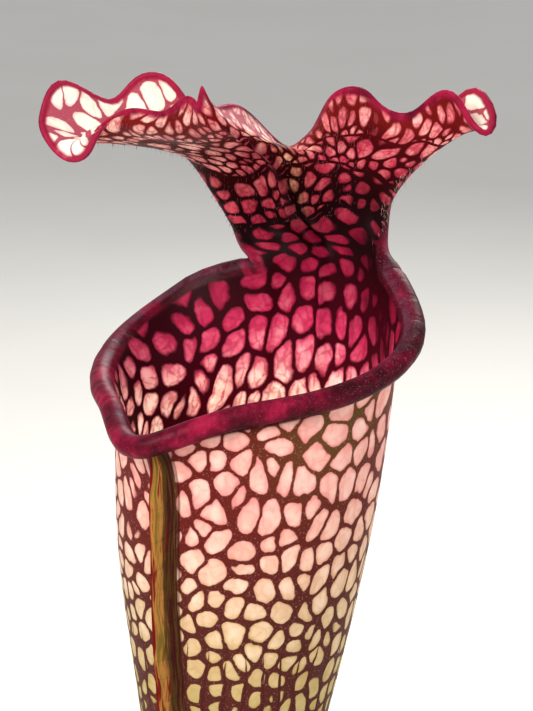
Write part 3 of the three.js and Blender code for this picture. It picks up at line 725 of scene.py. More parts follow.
def edge_roll(sheet):
    """Radius of the rolled edge: the lip's, and the lid's further up both sides."""

    def fading(height):
        """From the lip's to the lid's by e to the minus (height / 16 mm) squared."""
        return LID_ROLL + (LIP_ROLL - LID_ROLL) * np.exp(-((height * CM / 16) ** 2))

    across = sheet.lid_ids.shape[1]
    lip_points = sheet.tube_ids.shape[1] - across // 2
    heights = sheet.heights
    margin, lip = np.full(across - 1, LID_ROLL), np.full(lip_points, LIP_ROLL)
    rolls = np.concatenate([fading(heights[:-1]), margin, fading(heights[:0:-1]), lip])
    return np.maximum(rolls, 0.52 * THICKNESS)


def to_edge(points, here):
    """For every point, the nearest point of the edge and the distance to it, in batches to save memory."""
    batches = [np.linalg.norm(p[:, None] - here[None], axis=2) for p in np.array_split(points, 60)]
    return np.concatenate([b.argmin(1) for b in batches]), np.concatenate([b.min(1) for b in batches])


# %% The whole leaf
def pitcher_mesh(column_cells, lip_cells, depths, lid_rows, bead_steps):
    """Points in mm from the mouth, faces, a dictionary of numbers per point, and a UV per face corner."""
    sheet = inner_sheet(column_cells, lip_cells, depths, lid_rows)
    angle, climb, width, ring = sheet.angle, sheet.climb, sheet.width, sheet.ring
    points = sheet.points
    points = points + ridges(angle, climb, width)[:, None] * point_normals(points, sheet.faces)
    inwards = point_normals(points, sheet.faces)
    edge, onwards, outwards = free_edge(sheet, points, inwards)
    roll = edge_roll(sheet)
    here = points[edge]
    nearest, rim = to_edge(points, here)

    # the outer sheet is set back near the edge, so that the roll meets it, and carries the wing
    set_back = np.sqrt(2 * roll * THICKNESS - THICKNESS**2)
    reach = np.clip(1 - rim / 5, 0, 1) * (rim > 0)
    outer = points - THICKNESS * inwards - (set_back[nearest] * reach)[:, None] * onwards[nearest]
    on_tube = np.arange(sheet.tube_ids.size)
    outer[on_tube] -= wing_height(angle[on_tube], -climb[on_tube])[:, None] * inwards[on_tube]
    outer[edge] = here + THICKNESS * outwards - set_back[:, None] * onwards

    # the rolled edge is nearly a full circle
    around_bead = np.arange(1, bead_steps) / bead_steps
    turns = (2 * np.pi - np.arccos(1 - THICKNESS / roll)) * around_bead[:, None]
    middle = here + roll[:, None] * outwards
    on_circle = np.sin(turns)[..., None] * onwards - np.cos(turns)[..., None] * outwards
    bead = middle + roll[:, None] * on_circle
    count = len(points)
    bead_ids = 2 * count + np.arange(bead[..., 0].size).reshape(bead.shape[:2])
    band = closed(np.vstack([edge, bead_ids, edge + count]))

    # the hollow and the stalk each end in one point
    inner_end, outer_end = ring[sheet.hollow], ring[0] + count
    tips = np.stack([points[inner_end[:-1]].mean(0) - [0, 0, 2.5], outer[ring[0, :-1]].mean(0)])
    everything = np.concatenate([points, outer, bead.reshape(-1, 3), tips])
    tip = len(everything) - 2
    ends = [fan(tip, inner_end[1:], inner_end[:-1]), fan(tip + 1, outer_end[:-1], outer_end[1:])]
    faces = np.concatenate([sheet.throat, sheet.faces[:, ::-1] + count, triangles(squares(band)), *ends])

    def for_all(values, at_tips):
        """A number of the inner sheet's points, given to every point of the leaf."""
        return np.concatenate([values, values, np.tile(values[edge], bead_steps - 1), at_tips])

    past_edge = np.repeat(around_bead, len(edge))
    arc = wrap(angle) * width
    numbers = {
        "angle": for_all(angle, [0, 0]),
        "climb": for_all(climb, [-HOLLOW_DEPTH, -TUBE_LENGTH]),
        "rim": for_all(rim, [FAR, FAR]),
        "side": np.concatenate([np.zeros(count), np.ones(count), past_edge, [0, 1]]),
        "roll": for_all(np.where(rim < 6, roll[nearest], LID_ROLL), [LID_ROLL, LID_ROLL]),
        "arc": for_all(np.clip(arc, -WING_ZONE, WING_ZONE), [WING_ZONE, WING_ZONE]),
        "near_wing": for_all((climb <= 0) * (1 - smooth(np.abs(arc), 5, 8)), [0, 0]),
    }

    # the UV map: cells round the leaf, continued past the seam, and cells upwards, other ones on each side
    inner_cells, outer_cells = (cells_upwards(sheet, table) for table in (STRETCH_INSIDE, STRETCH_OUTSIDE))
    upwards = for_all(inner_cells, [inner_cells.min(), outer_cells.min()])
    upwards[count : 2 * count] = outer_cells
    upwards[2 * count : -2] += past_edge * np.tile((outer_cells - inner_cells)[edge], bead_steps - 1)
    corner_u = (np.round(numbers["angle"], 9) % (2 * np.pi) / CELL_STEP)[faces]
    over_seam = np.ptp(corner_u, axis=1) > CELLS_ROUND / 2
    corner_u[over_seam] += CELLS_ROUND * (corner_u[over_seam] < CELLS_ROUND / 2)
    uv = np.stack([corner_u, upwards[faces]], -1).reshape(-1, 2)

    used, faces = np.unique(faces, return_inverse=True)
    numbers = {key: values[used] for key, values in numbers.items()}
    return everything[used], faces.reshape(-1, 3), numbers, uv


# %% The tall leaf
def depth_rows(throat, tube, stalk):
    """Depths of the tube's rows, in three stretches that end at 14 mm, 60 mm and the foot."""
    stretches = ((0, 14, throat), (14, 60, tube), (60, TUBE_LENGTH, stalk))
    rows = [np.linspace(start, end, count + 1)[:-1] for start, end, count in stretches]
    return np.concatenate([*rows, [TUBE_LENGTH]])


leaf_points, leaf_faces, leaf_numbers, leaf_uv = pitcher_mesh(
    column_cells=84, lip_cells=124, depths=depth_rows(21, 31, 41), lid_rows=70, bead_steps=10
)
print("tall pitcher:", len(leaf_points), "points,", len(leaf_faces), "faces")

# %% [markdown]
# ## Painting the leaf
# What makes this leaf is its network: dark veins round pale windows. A painted image could hold it, but it
# would blur in close views. So the shader draws the fine network, in the leaf's own UV map. What changes
# slowly, the colour of windows and of veins from the green foot to the crimson throat and the pale upper
# side of the lid, is worked out here and kept at each point.

# %% Slow colours of the leaf
def blend_colours(base, layers):
    """Lays one colour after another over the base; each layer is (colour code, share at each point)."""
    out = np.tile(np.array(colour(base)), (len(layers[0][1]), 1))
    for code, share in layers:
        out = out + (np.array(colour(code)) - out) * np.clip(share, 0, 1)[:, None]
    return out


# %% Colours and vein width by the place on the leaf
def paint_pitcher(numbers):
    """Colours of windows and veins, and how wide the veins are, from each point's place on the leaf."""
    climb, side, angle = (numbers[key] for key in ("climb", "side", "angle"))
    depth = -climb
    front = hump(angle, -55 * RAD, 72 * RAD)
    # Painted light: near the lid's top, beside the midrib, the underside turns up to face the light above, so
    # its windows are painted pale and its veins paler and thinner.
    sky_lit_turn = smooth(climb - 35 - 15 * (wrap(angle - 181.5 * RAD) / (5.5 * RAD)) ** 2, 0, 1.5)
    lid_part = smooth(climb, 14, 34)
    # A golden band just right of the keel, lower and higher up: partly its own yellow cells, partly a painted
    # highlight where the fold catches the light.
    lit_fold = hump(angle, 183 * RAD, 3 * RAD) * smooth(climb, 7, 15) * (1 - smooth(climb, 34, 42))
    upper_lit_fold = hump(angle, 178 * RAD, 5 * RAD) * smooth(climb, 24, 32) * (1 - smooth(climb, 38, 44))
    # Painted shade: the right corner, where the lip meets the column, lies in shadow, so its windows are
    # painted nearly black and its veins wider.
    corner_shade = hump(angle, 150 * RAD, 18 * RAD) * bell(climb, 0, 15)
    on_keel = smooth(climb, -14, 2) * (1 - smooth(climb, 34, 44))
    keel_line = hump(angle, COLUMN_MIDDLE, 0.8 * RAD) * on_keel * 0.8
    inner_window = blend_colours("F3DDBE", [
        ("F49AA4", 1 - smooth(depth, -2 + 14 * (1 - front), 5 + 16 * (1 - front))),
        ("E24A76", 1 - smooth(depth, -6 + 15 * (1 - front), 2 + 16 * (1 - front))),
        ("A80E3C", smooth(climb, -14, 2) * (1 - 0.6 * front)),
        ("D64C5A", smooth(climb, 5, 17)),
        ("EE8C88", smooth(climb, 22, 40)),
        # Partly the pale pink of the lid's left underside, partly painted light: it is lightened for the
        # light that shines through the lid from above.
        ("FFCDB8", smooth(climb, 16, 34) * smooth(angle, 184 * RAD, 200 * RAD)),
        ("FFCF94", lit_fold * 0.85),
        ("DDB27C", upper_lit_fold * 0.5),
        ("2A0512", corner_shade * 0.95),
        ("30060F", keel_line),
        ("F8CFC4", sky_lit_turn),
    ])
    inner_vein = blend_colours("5A0614", [
        ("3C0210", smooth(climb, -30, -6)),
        ("160002", smooth(climb, -8, 4) * (1 - smooth(climb, 24, 36))),
        ("480408", lid_part),
        ("701210", smooth(climb, 30, 46)),
        ("22040B", keel_line),
        ("C9727C", sky_lit_turn),
    ])
    inner_halo = blend_colours("C02850", [("7A0628", smooth(climb, -12, 4)), ("A01C3C", lid_part)])
    outer_window = blend_colours("F0AEA0", [
        ("E8C6A4", smooth(depth, 10, 34)),
        # Painted shade: on the viewer's left of the wing the tube lies in slight shadow, so its windows are
        # painted greyer.
        ("D2BCA4", hump(angle, -45 * RAD, 36 * RAD) * smooth(depth, 2, 12) * 0.7),
        ("D9C893", smooth(depth, 32, 56)),
        ("B8B25A", smooth(depth, 54, 84)),
        ("7F9440", smooth(depth, 84, 136)),
        ("C98A86", smooth(climb, -2, 10)),
        ("FBEEDC", smooth(climb, 20, 34)),
    ])
    outer_vein = blend_colours("621C18", [
        ("50221C", smooth(depth, 8, 36)),
        ("5C4A20", hump(angle, 78 * RAD, 30 * RAD) * bell(depth, 3, 9) * 0.7),
        ("5A2A16", smooth(depth, 60, 100)),
        ("63341E", smooth(depth, 110, 190)),
        ("4A0E12", smooth(climb, -2, 10)),
        ("A84A5A", smooth(climb, 20, 34)),
    ])
    outer_halo = blend_colours("CC4458", [
        ("AC8A40", smooth(depth, 10, 32)),
        ("8F8E30", smooth(depth, 34, 60)),
        ("D8707C", smooth(climb, 4, 20)),
    ])
    share = side[:, None]
    inner_width = (0.115 - 0.03 * smooth(depth, 9, 18) + 0.055 * smooth(climb, -16, 4)
                   - 0.02 * lid_part + 0.12 * corner_shade - 0.06 * sky_lit_turn)
    outer_width = 0.138 + 0.07 * smooth(depth, 14, 60) - 0.06 * lid_part
    numbers["vein_width"] = inner_width + (outer_width - inner_width) * side
    dim = np.maximum(smooth(climb, -14, -1) * (1 - smooth(climb, 14, 32)), keel_line) * (1 - side)
    numbers["pale"] = 1 - 0.9 * dim
    lit_wall = smooth(depth, -2, 14 - 8 * front) * (0.3 + 0.7 * front)
    numbers["glow"] = np.maximum(lit_wall, 0.36 * smooth(climb, 8, 26)) * (1 - side)
    return {
        "window": inner_window + (outer_window - inner_window) * share,
        "vein": inner_vein + (outer_vein - inner_vein) * share,
        "halo": inner_halo + (outer_halo - inner_halo) * share,
    }

# %% [markdown]
# The network is drawn by a cell pattern in the UV map, where every cell is one window. The plain distance
# to a cell's middle and a smoothed one differ only near the borders, and most at the corners, so their
# difference gives borders with rounded corners, as the real windows have. On the lid the number of cells
# across doubles at three heights, and a vein hides each change. Low down outside, long veins part the cells
# into rows. A finer pattern lays faint lobes into the windows.

# %% What the finish reads
def leaf_readings(g):
    """Numbers kept at the points, and noises that make the veins wander and spot the colours."""
    place = g.place()
    wander = g.noise(place, 90.0, 2.0, output="Color")
    fine_wander = g.noise(place, 480.0, 3.0, output="Color")
    side = g.number("side")
    return SimpleNamespace(
        side=side, inside=1.0 - side, climb=g.number("climb"), rim=g.number("rim"), angle=g.number("angle"),
        drift=g.part(wander, "X") - 0.5, drift_up=g.part(wander, "Y") - 0.5,
        jitter=g.part(fine_wander, "X") - 0.5, jitter_up=g.part(fine_wander, "Y") - 0.5,
        blotch=g.noise(place, 150.0, 3.0, 0.65), patch=g.noise(place, 160.0, 1.0),
        tint=g.noise(place, 300.0, 2.0), pores=g.noise(place, 1500.0, 3.0, 0.6),
        speck=g.noise(place, 3000.0, 1.0, 0.8).ramp(0.62, 0.72),
    )


# %% The network of veins
def vein_network(g, leaf):
    """Four shares: window, 0 on a vein and 1 in an open window; heart, 1 in the middle of a window; in_rows,
    1 where long veins part the cells; and long_vein, 0 on such a vein."""
    uv = g.node("ShaderNodeUVMap", {"uv_map": "leaf"})
    up = g.part(uv, "Y") + leaf.drift_up + leaf.jitter_up * 0.24

    # twice as many cells across above each branching height of the lid, and a vein along the change
    level = leaf.climb + leaf.drift_up * 9.0 + leaf.jitter
    branches = 1.0
    fork = abs(level - BRANCH_HEIGHTS[0] * CM) * FORK_SHARE
    for height in BRANCH_HEIGHTS:
        branches = (level.math("GREATER_THAN", height * CM) + 1.0) * branches
        fork = fork.smallest(abs(level - height * CM) * FORK_SHARE)
    across = g.part(uv, "X") * branches + leaf.drift * 1.1 + leaf.jitter * 0.2
    long_vein = across.math("PINGPONG", 0.5)

    def cells(finer, feature, shift, smoothness=0.0):
        """A cell pattern; the shift keeps patterns of different fineness and branching apart."""
        at = g.join(across * finer + branches * 53.0 + shift, up * finer + shift)
        inputs = {"Vector": at, "Scale": 1.0, "Randomness": 0.9}
        if smoothness:
            inputs["Smoothness"] = smoothness
        return g.node("ShaderNodeTexVoronoi", {"voronoi_dimensions": "2D", "feature": feature}, inputs)

    middle = cells(1.0, "F1", 0.0)
    near_border = middle - cells(1.0, "SMOOTH_F1", 0.0, 1.0)
    edge = (1.0 - near_border * 8.0).largest(0.0) ** 0.7 * 0.25
    edge = edge.math("SMOOTH_MIN", 0.85 - middle, 0.16)
    in_rows = leaf.climb.ramp(-20.0, -52.0) * leaf.side
    network = edge.smallest(fork).smallest(long_vein * 1.1 + (1.0 - in_rows) * 0.35)
    half_width = g.number("vein_width") * (0.55 + leaf.patch * 0.9) + long_vein.ramp(0.2, 0.0) * 0.03
    past_vein = network - half_width

    finer_edge = cells(2.1, "DISTANCE_TO_EDGE", 9.0)
    spots = (leaf.tint - 0.5) * 0.4 - (leaf.patch - 0.5) * 0.3 + (leaf.pores - 0.5) * 0.2
    lobes = (finer_edge + spots).ramp(-0.02, 0.2)
    lobes = lobes + (1.0 - lobes) * leaf.side * 0.65
    window = past_vein.ramp(-0.018 - leaf.inside * 0.015, leaf.inside * 0.06 + 0.028) * (0.86 + lobes * 0.14)
    heart = past_vein.ramp(0.0, leaf.inside * 0.1 + in_rows * 0.14 + 0.12) * (0.35 + lobes * 0.65)
    return SimpleNamespace(window=window, heart=heart, in_rows=in_rows, long_vein=long_vein)


# %% Veins and windows
def window_colours(g, leaf, net):
    """Veins, and windows that are brighter in the middle and differ a little from one another."""
    window_colour = g.point_colour("window")
    towards_halo = 0.75 - leaf.patch * 0.5 + leaf.inside * 0.3 + net.in_rows * 0.3
    rim_colour = g.mix(window_colour, g.point_colour("halo"), towards_halo)
    spotted = (leaf.tint - 0.5) * 0.8 + (leaf.pores - 0.5) * leaf.inside * 0.9
    open_window = g.mix(rim_colour, window_colour, net.heart + spotted)
    whiteness = net.heart * (leaf.tint - 0.45).largest(0.0) * (leaf.inside * 1.2 + 1.3) * g.number("pale")
    dark = g.layers(
        g.point_colour("vein"),
        ("C08C86", leaf.speck * 0.4 * leaf.side),
        ("3E1014", net.long_vein.ramp(0.1, 0.03) * net.in_rows * 0.6),
    )
    return g.mix(dark, g.mix(open_window, "FFEEDD", whiteness), net.window)

# %% [markdown]
# The lip is the waxy crimson rim on which insects land: frosted inside, streaked across, darker in
# blotches. It could be a material of its own, but the border would be a hard line along the faces. So the
# band is laid over the network by the distance to the edge, and thins out to a line round the lid.

# %% The crimson edge
def crimson_edge(g, leaf, crimson, dark, frosted):
    """Colour, share and streaks of the edge: a broad frosted band on the lip, a thin line on the lid."""
    roll = g.number("roll")
    lid_line = roll.ramp(1.4, 0.7)
    on_lip = 1.0 - lid_line
    across_lip = g.join(leaf.angle * 18.0 + leaf.jitter * 3.0, leaf.rim * 0.5 + leaf.side * 3.0)
    streak = g.noise(across_lip, 1.0, 4.0, 0.65)
    right = (leaf.angle - 0.7).ramp(0.0, 1.3) - (leaf.angle - 2.9).ramp(0.0, 0.4)
    far_left = (-1.3 - leaf.angle).ramp(0.0, 1.0)
    depth = (streak * 0.5 + leaf.blotch * 1.2 - 0.38 + (right * 0.18 + far_left * 0.3) * on_lip
             + leaf.side.ramp(0.45, 0.9) * 0.22 - lid_line * 0.12)
    frost = (1.0 - leaf.side.ramp(0.06, 0.34)) * leaf.side.ramp(0.0, 0.08) * streak.ramp(0.3, 0.65)
    band = g.layers(
        crimson,
        (dark, depth.ramp(0.26, 0.84)),
        # Brighter crimson patches: partly the lip's own mottling, partly a painted highlight on its inner
        # side.
        ("B82048", (0.62 - depth).ramp(0.1, 0.4) * 0.5),
        (frosted, (frost * 0.2 + leaf.speck * (0.1 + right * 0.25)) * on_lip),
        ("B8284C", lid_line * leaf.side.ramp(0.3, 0.8) * 0.6),
    )
    reach = roll * 0.75 + (leaf.blotch - 0.5) * (1.2 + lid_line * 1.6) + lid_line * (leaf.inside * 0.7 - 0.35)
    return band, 1.0 - (leaf.rim - reach * 0.55).ramp(0.0, 0.9), streak

# %% [markdown]
# The wing is a narrow fold down the front of the tube, with stripes along it. Each point of the mesh knows
# its arc from the wing's crest, so the stripes stay in line with the modelled fold, and noise that is drawn
# out along it makes them fibrous.

# %% The wing's stripes
def wing_stripes(g, leaf, skin):
    """By the arc from the crest: a red crest, golden fibres beside it and a dark foot."""
    arc = g.number("arc") + leaf.drift * 0.8
    fibre = g.noise(g.join(arc, leaf.climb * 0.03), 2.6, 3.0, 0.6)
    near_wing = g.number("near_wing") * leaf.side.ramp(0.8, 1.0)
    ragged = arc + (fibre - 0.5) * 2.4
    foot = g.mix("3A120E", "4A3212", fibre.ramp(0.46, 0.6))
    golden = g.layers("AC7638", ("745C22", fibre.ramp(0.48, 0.62)), ("6A1810", fibre.ramp(0.49, 0.41)))
    return g.layers(
        skin,
        (foot, near_wing * (arc.ramp(-1.6, -1.2) - ragged.ramp(2.4, 3.3))),
        (golden, near_wing * (arc.ramp(-0.9, -0.7) - (ragged - 0.4 * fibre).ramp(0.55, 1.05))),
        ("6C0A0E", near_wing * (arc.ramp(-0.7, -0.5) - arc.ramp(0.08, 0.22))),
    )

# %% [markdown]
# The leaf is so thin that light shines through its windows. Real translucency needs strong light from
# behind and many samples, so in the throat and the lid the windows give off a share of their own colour
# instead.

# %% The finish of a pitcher leaf
def pitcher_finish(name, *lip_colours):
    """Network, crimson edge and wing, with light that comes through the thin leaf in the throat and lid."""
    g = Graph(name)
    leaf = leaf_readings(g)
    net = vein_network(g, leaf)
    band, on_edge, streak = crimson_edge(g, leaf, *lip_colours)
    skin = wing_stripes(g, leaf, g.mix(window_colours(g, leaf, net), band, on_edge))
    height = net.window * 0.5 + leaf.pores * 0.16 + streak * on_edge * 0.05
    glow = g.mix("000000", skin, g.number("glow") * net.window * (1.0 - on_edge))
    rough = 0.44 + leaf.pores * 0.14 - on_edge * 0.1
    return g.finish(
        Base_Color=skin, Roughness=rough, Specular_IOR_Level=0.05, Normal=g.bump(height, 0.0004, 0.6),
        Emission_Color=glow, Emission_Strength=0.85,
        Coat_Weight=on_edge * 0.04, Coat_Roughness=0.34,
        Subsurface_Weight=0.1, Subsurface_Radius=(0.006, 0.002, 0.0015), Subsurface_Scale=0.4,
    )


# %% The tall leaf as a piece
tall_finish = pitcher_finish("tall_pitcher_leaf", "7C0A2C", "34060F", "A8708A")
leaf_colours = paint_pitcher(leaf_numbers)
make_piece("tall_leaf", leaf_points + MOUTH, leaf_faces, tall_finish, "pitcher_leaf", "tall_pitcher",
           leaf_numbers, leaf_colours, leaf_uv)

# %% [markdown]
# ## Hairs
# Short stiff hairs point down the lid's underside and keep insects from climbing out, and paler ones stand
# on the column's right shoulder. Blender's own hair could grow them, but it isn't part of a mesh and would
# be lost in an export. So each is a thin cone of three sides and ten triangles, bent a little downwards,
# and all hairs of one kind are one mesh, because that is quick.

# %% The shape of the hairs
ROOT_WIDTH, MIDDLE_WIDTH = 0.028, 0.02


def bristles(points, faces, likely, count, longest, seed, lift=0.8):
    """Rings of three points at the root and the middle and one point at the tip, along a bent line.

    They grow at random points among the likely ones, aimed by the surface's normal times lift and downwards.
    """
    rng = np.random.default_rng(seed)
    root = rng.choice(np.flatnonzero(likely), count, replace=False)
    normal = point_normals(points, faces)[root]
    aim = unit(normal * lift + [0, 0, -0.7] + rng.normal(0, 0.2, (count, 3)))
    length = longest * rng.uniform(0.45, 1, count)[:, None]
    side = unit(np.cross(aim, rng.normal(0, 1, (count, 3))))
    other = np.cross(aim, side)
    start = points[root] - 0.05 * normal
    middle = start + aim * length * 0.55
    tip = start + (aim + np.array([0, 0, -0.25])) * length
    turn = full_turn(3)
    ring = side[:, None] * np.cos(turn)[:, None] + other[:, None] * np.sin(turn)[:, None]
    rings = [start[:, None] + ROOT_WIDTH * ring, middle[:, None] + MIDDLE_WIDTH * ring, tip[:, None]]
    rows = closed(np.arange(6).reshape(2, 3))
    one = np.concatenate([triangles(squares(rows)), fan(6, rows[1, :-1], rows[1, 1:]), [[0, 2, 1]]])
    return np.concatenate(rings, 1).reshape(-1, 3), copies(one, 7, count)


def hair_finish(name, dark, light):
    """Cloudy between two colours, so that neighbouring hairs differ."""
    g = Graph(name)
    tone = g.noise(g.place(), 400.0, 2.0)
    return g.finish(Base_Color=g.mix(dark, light, tone.ramp(0.35, 0.62)),
                    Roughness=0.5 + tone * 0.2, Specular_IOR_Level=0.3)


# %% Hairs under the lid and on the shoulder
def inner_part(numbers, from_climb, clear):
    """Points of the inner side above a height, at least so far from the edge."""
    return (numbers["side"] == 0) & (numbers["climb"] > from_climb) & (numbers["rim"] > clear)


hair_look = hair_finish("leaf_hair", "5A1A24", "B86A70")
pale_hair_look = hair_finish("pale_hair", "C8A088", "F0DCC8")
under_lid = inner_part(leaf_numbers, 12, 0.8) & (leaf_numbers["angle"] > 164 * RAD)
lid_hairs, lid_hair_faces = bristles(leaf_points, leaf_faces, under_lid, count=1300, longest=0.95, seed=5)
make_piece("tall_leaf_hairs", lid_hairs + MOUTH, lid_hair_faces, hair_look, "pitcher_leaf")
shoulder = (leaf_numbers["angle"] < 156 * RAD) & (leaf_numbers["climb"] > 8) & (leaf_numbers["climb"] < 30)
shoulder &= leaf_numbers["rim"] > 0.3
pale_hairs, pale_faces = bristles(leaf_points, leaf_faces, shoulder, count=220, longest=1.2, seed=7, lift=0.3)
make_piece("tall_leaf_pale_hairs", pale_hairs + MOUTH, pale_faces, pale_hair_look, "pitcher_leaf")

# %% [markdown]
# ## The short pitcher
# A younger leaf of the same kind stands behind, turned another way and half as large. A shrunk copy of the
# tall leaf's mesh would have more points than it needs. So the same surface is worked out again with fewer
# rows, then shrunk, turned and moved to its place on the creeping stem. Its windows are greener.

# %% Turned and shrunk
SHORT_FOOT = np.array([14.0, -2.0, 106.2])
SHORT_SCALE = 0.5
YOUNGER_LIP = ("9A1E34", "5A0E1A", "B08A86")


def turn_about(axis, angle):
    """The matrix that turns points about x (0), y (1) or z (2), or one matrix for each of several angles."""
    c, s = np.cos(angle), np.sin(angle)
    i, j = [(1, 2), (2, 0), (0, 1)][axis]
    matrix = np.zeros(np.shape(angle) + (3, 3)) + np.eye(3)
    matrix[..., i, i] = matrix[..., j, j] = c
    matrix[..., i, j] = -s
    matrix[..., j, i] = s
    return matrix


short_points, short_faces, short_numbers, short_uv = pitcher_mesh(
    column_cells=52, lip_cells=76, depths=depth_rows(11, 17, 25), lid_rows=42, bead_steps=8
)
short_turn = turn_about(1, 9 * RAD) @ turn_about(0, -4 * RAD) @ turn_about(2, 125 * RAD)
short_points = SHORT_SCALE * (short_points - FOOT) @ short_turn.T + SHORT_FOOT


# %% Greener colours
def younger(colours, codes, share):
    """Each colour layer moved towards one colour by the same share."""
    return {key: values + (np.array(colour(codes[key])) - values) * share for key, values in colours.items()}


greener = {"window": "D9D58E", "vein": "7A3A22", "halo": "9A9A3C"}
short_colours = younger(paint_pitcher(short_numbers), greener, 0.34)
short_finish = pitcher_finish("short_pitcher_leaf", *YOUNGER_LIP)
make_piece("short_leaf", short_points, short_faces, short_finish, "pitcher_leaf", "short_pitcher",
           short_numbers, short_colours, short_uv)
short_lid = inner_part(short_numbers, 9, 0.8)
short_hair, short_hair_faces = bristles(short_points, short_faces, short_lid, count=500, longest=0.9, seed=6)
make_piece("short_leaf_hairs", short_hair, short_hair_faces, hair_look, "pitcher_leaf")

# %% [markdown]
# ## The young pitcher
# Before it opens, a pitcher is a closed, swollen bud on a narrow stalk: the lid lies folded over the mouth.
# It could be an open leaf pressed shut, but a simpler body does: an oval ring carried along a bent line.
# The ring's size follows a spline, and grooves, a fold and a wing are added to it by the angle.

# %% The closed bud
YOUNG_FOOT = np.array([-27.0, -6.0, 105.6])
YOUNG_TIP = np.array([-40.0, 12.0, 212.0])
YOUNG_ROWS, YOUNG_AROUND = 210, 96
WING_TURN = 0.6
LID_FOLD = 0.8
YOUNG_LENGTH = 107
YOUNG_HALF_WIDTH, YOUNG_HALF_THICKNESS = 6.5, 5.0
YOUNG_CELLS_ROUND, YOUNG_CELLS_UP = 16, 44
SWELL = np.array([[0, 0.62], [0.2, 0.42], [0.5, 0.62], [0.72, 1], [0.84, 0.92], [0.94, 0.45], [1, 0.08]])


def young_bud(rows, around):
    """Points, faces, and each point's place and angle; the half sizes times the swell, less the grooves."""
    p, t = sleeve(rows, around)
    line = curve(YOUNG_FOOT, (YOUNG_FOOT + YOUNG_TIP) / 2 + [5, -5, 6], YOUNG_TIP, p[:, 0])
    swell = spline(SWELL[:, 0], SWELL[:, 1], p[:, :1])
    lip = 0.795 + 0.035 * np.cos(t - WING_TURN)
    seam = 1 - 0.13 * bell(p, lip, 0.007) + 0.05 * bell(p, lip - 0.014, 0.009)
    waves = 0.05 * np.cos(3 * t + 14 * p) + 0.03 * np.cos(7 * t)
    folds = 1 + smooth(p, LID_FOLD, 0.86) * (1 - smooth(p, 0.96, 1)) * waves
    cleft = 1 - 0.2 * smooth(p, 0.81, 0.88) * hump(t, WING_TURN, 0.16)
    ribs = 1 + 0.012 * np.cos(12 * t) * smooth(p, 0.05, 0.3)
    size = swell * seam * folds * cleft * ribs
    wing = 2.4 * smooth(p, 0.1, 0.5) * (1 - smooth(p, 0.72, LID_FOLD)) * hump(t, WING_TURN, 0.11)
    across = (YOUNG_HALF_WIDTH * size + wing) * np.cos(t)
    through = (YOUNG_HALF_THICKNESS * size + wing) * np.sin(t)
    points, faces = sweep(line, np.array([0.8, -0.6, 0.0]), across, through)
    return points, faces, np.append(p, [0, 1]), wrap(np.append(t, [0, 0]))


# %% Numbers, colours and UV map of the bud
young_points, young_faces, young_place, young_angle = young_bud(YOUNG_ROWS, YOUNG_AROUND)
young_height = (young_place - LID_FOLD) * YOUNG_LENGTH
from_wing = wrap(young_angle - WING_TURN) * YOUNG_HALF_THICKNESS
young_numbers = {
    "angle": young_angle,
    "climb": np.minimum(young_height, 0),
    "arc": np.clip(from_wing, -WING_ZONE, WING_ZONE),
    "near_wing": (1 - smooth(np.abs(from_wing), 1.6, 2.6)) * (1 - smooth(young_height, -6, 0)),
}
same_all_over = {"rim": FAR, "side": 1, "roll": LID_ROLL, "vein_width": 0.1, "pale": 0.6, "glow": 0}
young_numbers.update({key: np.full(len(young_points), value) for key, value in same_all_over.items()})
red_part = smooth(young_place, 0.55, 0.86)
young_colours = {
    "window": blend_colours("8FA048", [("C9C07A", red_part), ("D8A98A", smooth(young_place, 0.8, 0.9))]),
    "vein": blend_colours("6E8A38", [("7A4A2A", red_part), ("7A1E22", smooth(young_place, 0.78, 0.9))]),
    "halo": blend_colours("7E9640", [("A87A48", red_part)]),
}
young_uv = [young_angle / (2 * np.pi) * YOUNG_CELLS_ROUND, young_place * YOUNG_CELLS_UP]
young_corner = np.stack(young_uv, -1)[young_faces]
over_back = np.ptp(young_corner[..., 0], axis=1) > YOUNG_CELLS_ROUND / 2
young_corner[over_back, :, 0] += YOUNG_CELLS_ROUND * (young_corner[over_back, :, 0] < 0)
young_finish = pitcher_finish("young_pitcher_leaf", *YOUNGER_LIP)
make_piece("young_leaf", young_points, young_faces, young_finish, "green_leaf", "young_pitcher",
           young_numbers, young_colours, young_corner.reshape(-1, 2))

# %% [markdown]
# ## The flat leaves
# In poor light the plant grows plain leaves shaped like a sword. A bent plane would look right from a
# distance, but its edge would show no thickness. So each leaf is a lens-shaped ring carried along a bent
# line, with a rib down the middle. Fine veins run along it, the edges are yellower, and the tip dries
# first.

# %% The shape of a flat leaf
SWORDS = [
    # foot, tip, width, thickness and bow; then the fresh leaf's green and how red its veins are
    (([-4, 3, 105.6], [8, 38, 214], 13.0, 2.6, 10.0), ("7C9A3A", 0.3)),
    (([2, -14, 105.6], [22, -46, 196], 12.0, 2.6, 9.0), ("86A040", 0.5)),
    (([-31, 5, 105.6], [-56, -6, 178], 11.0, 2.4, 8.0), ("92A84A", 0.8)),
]


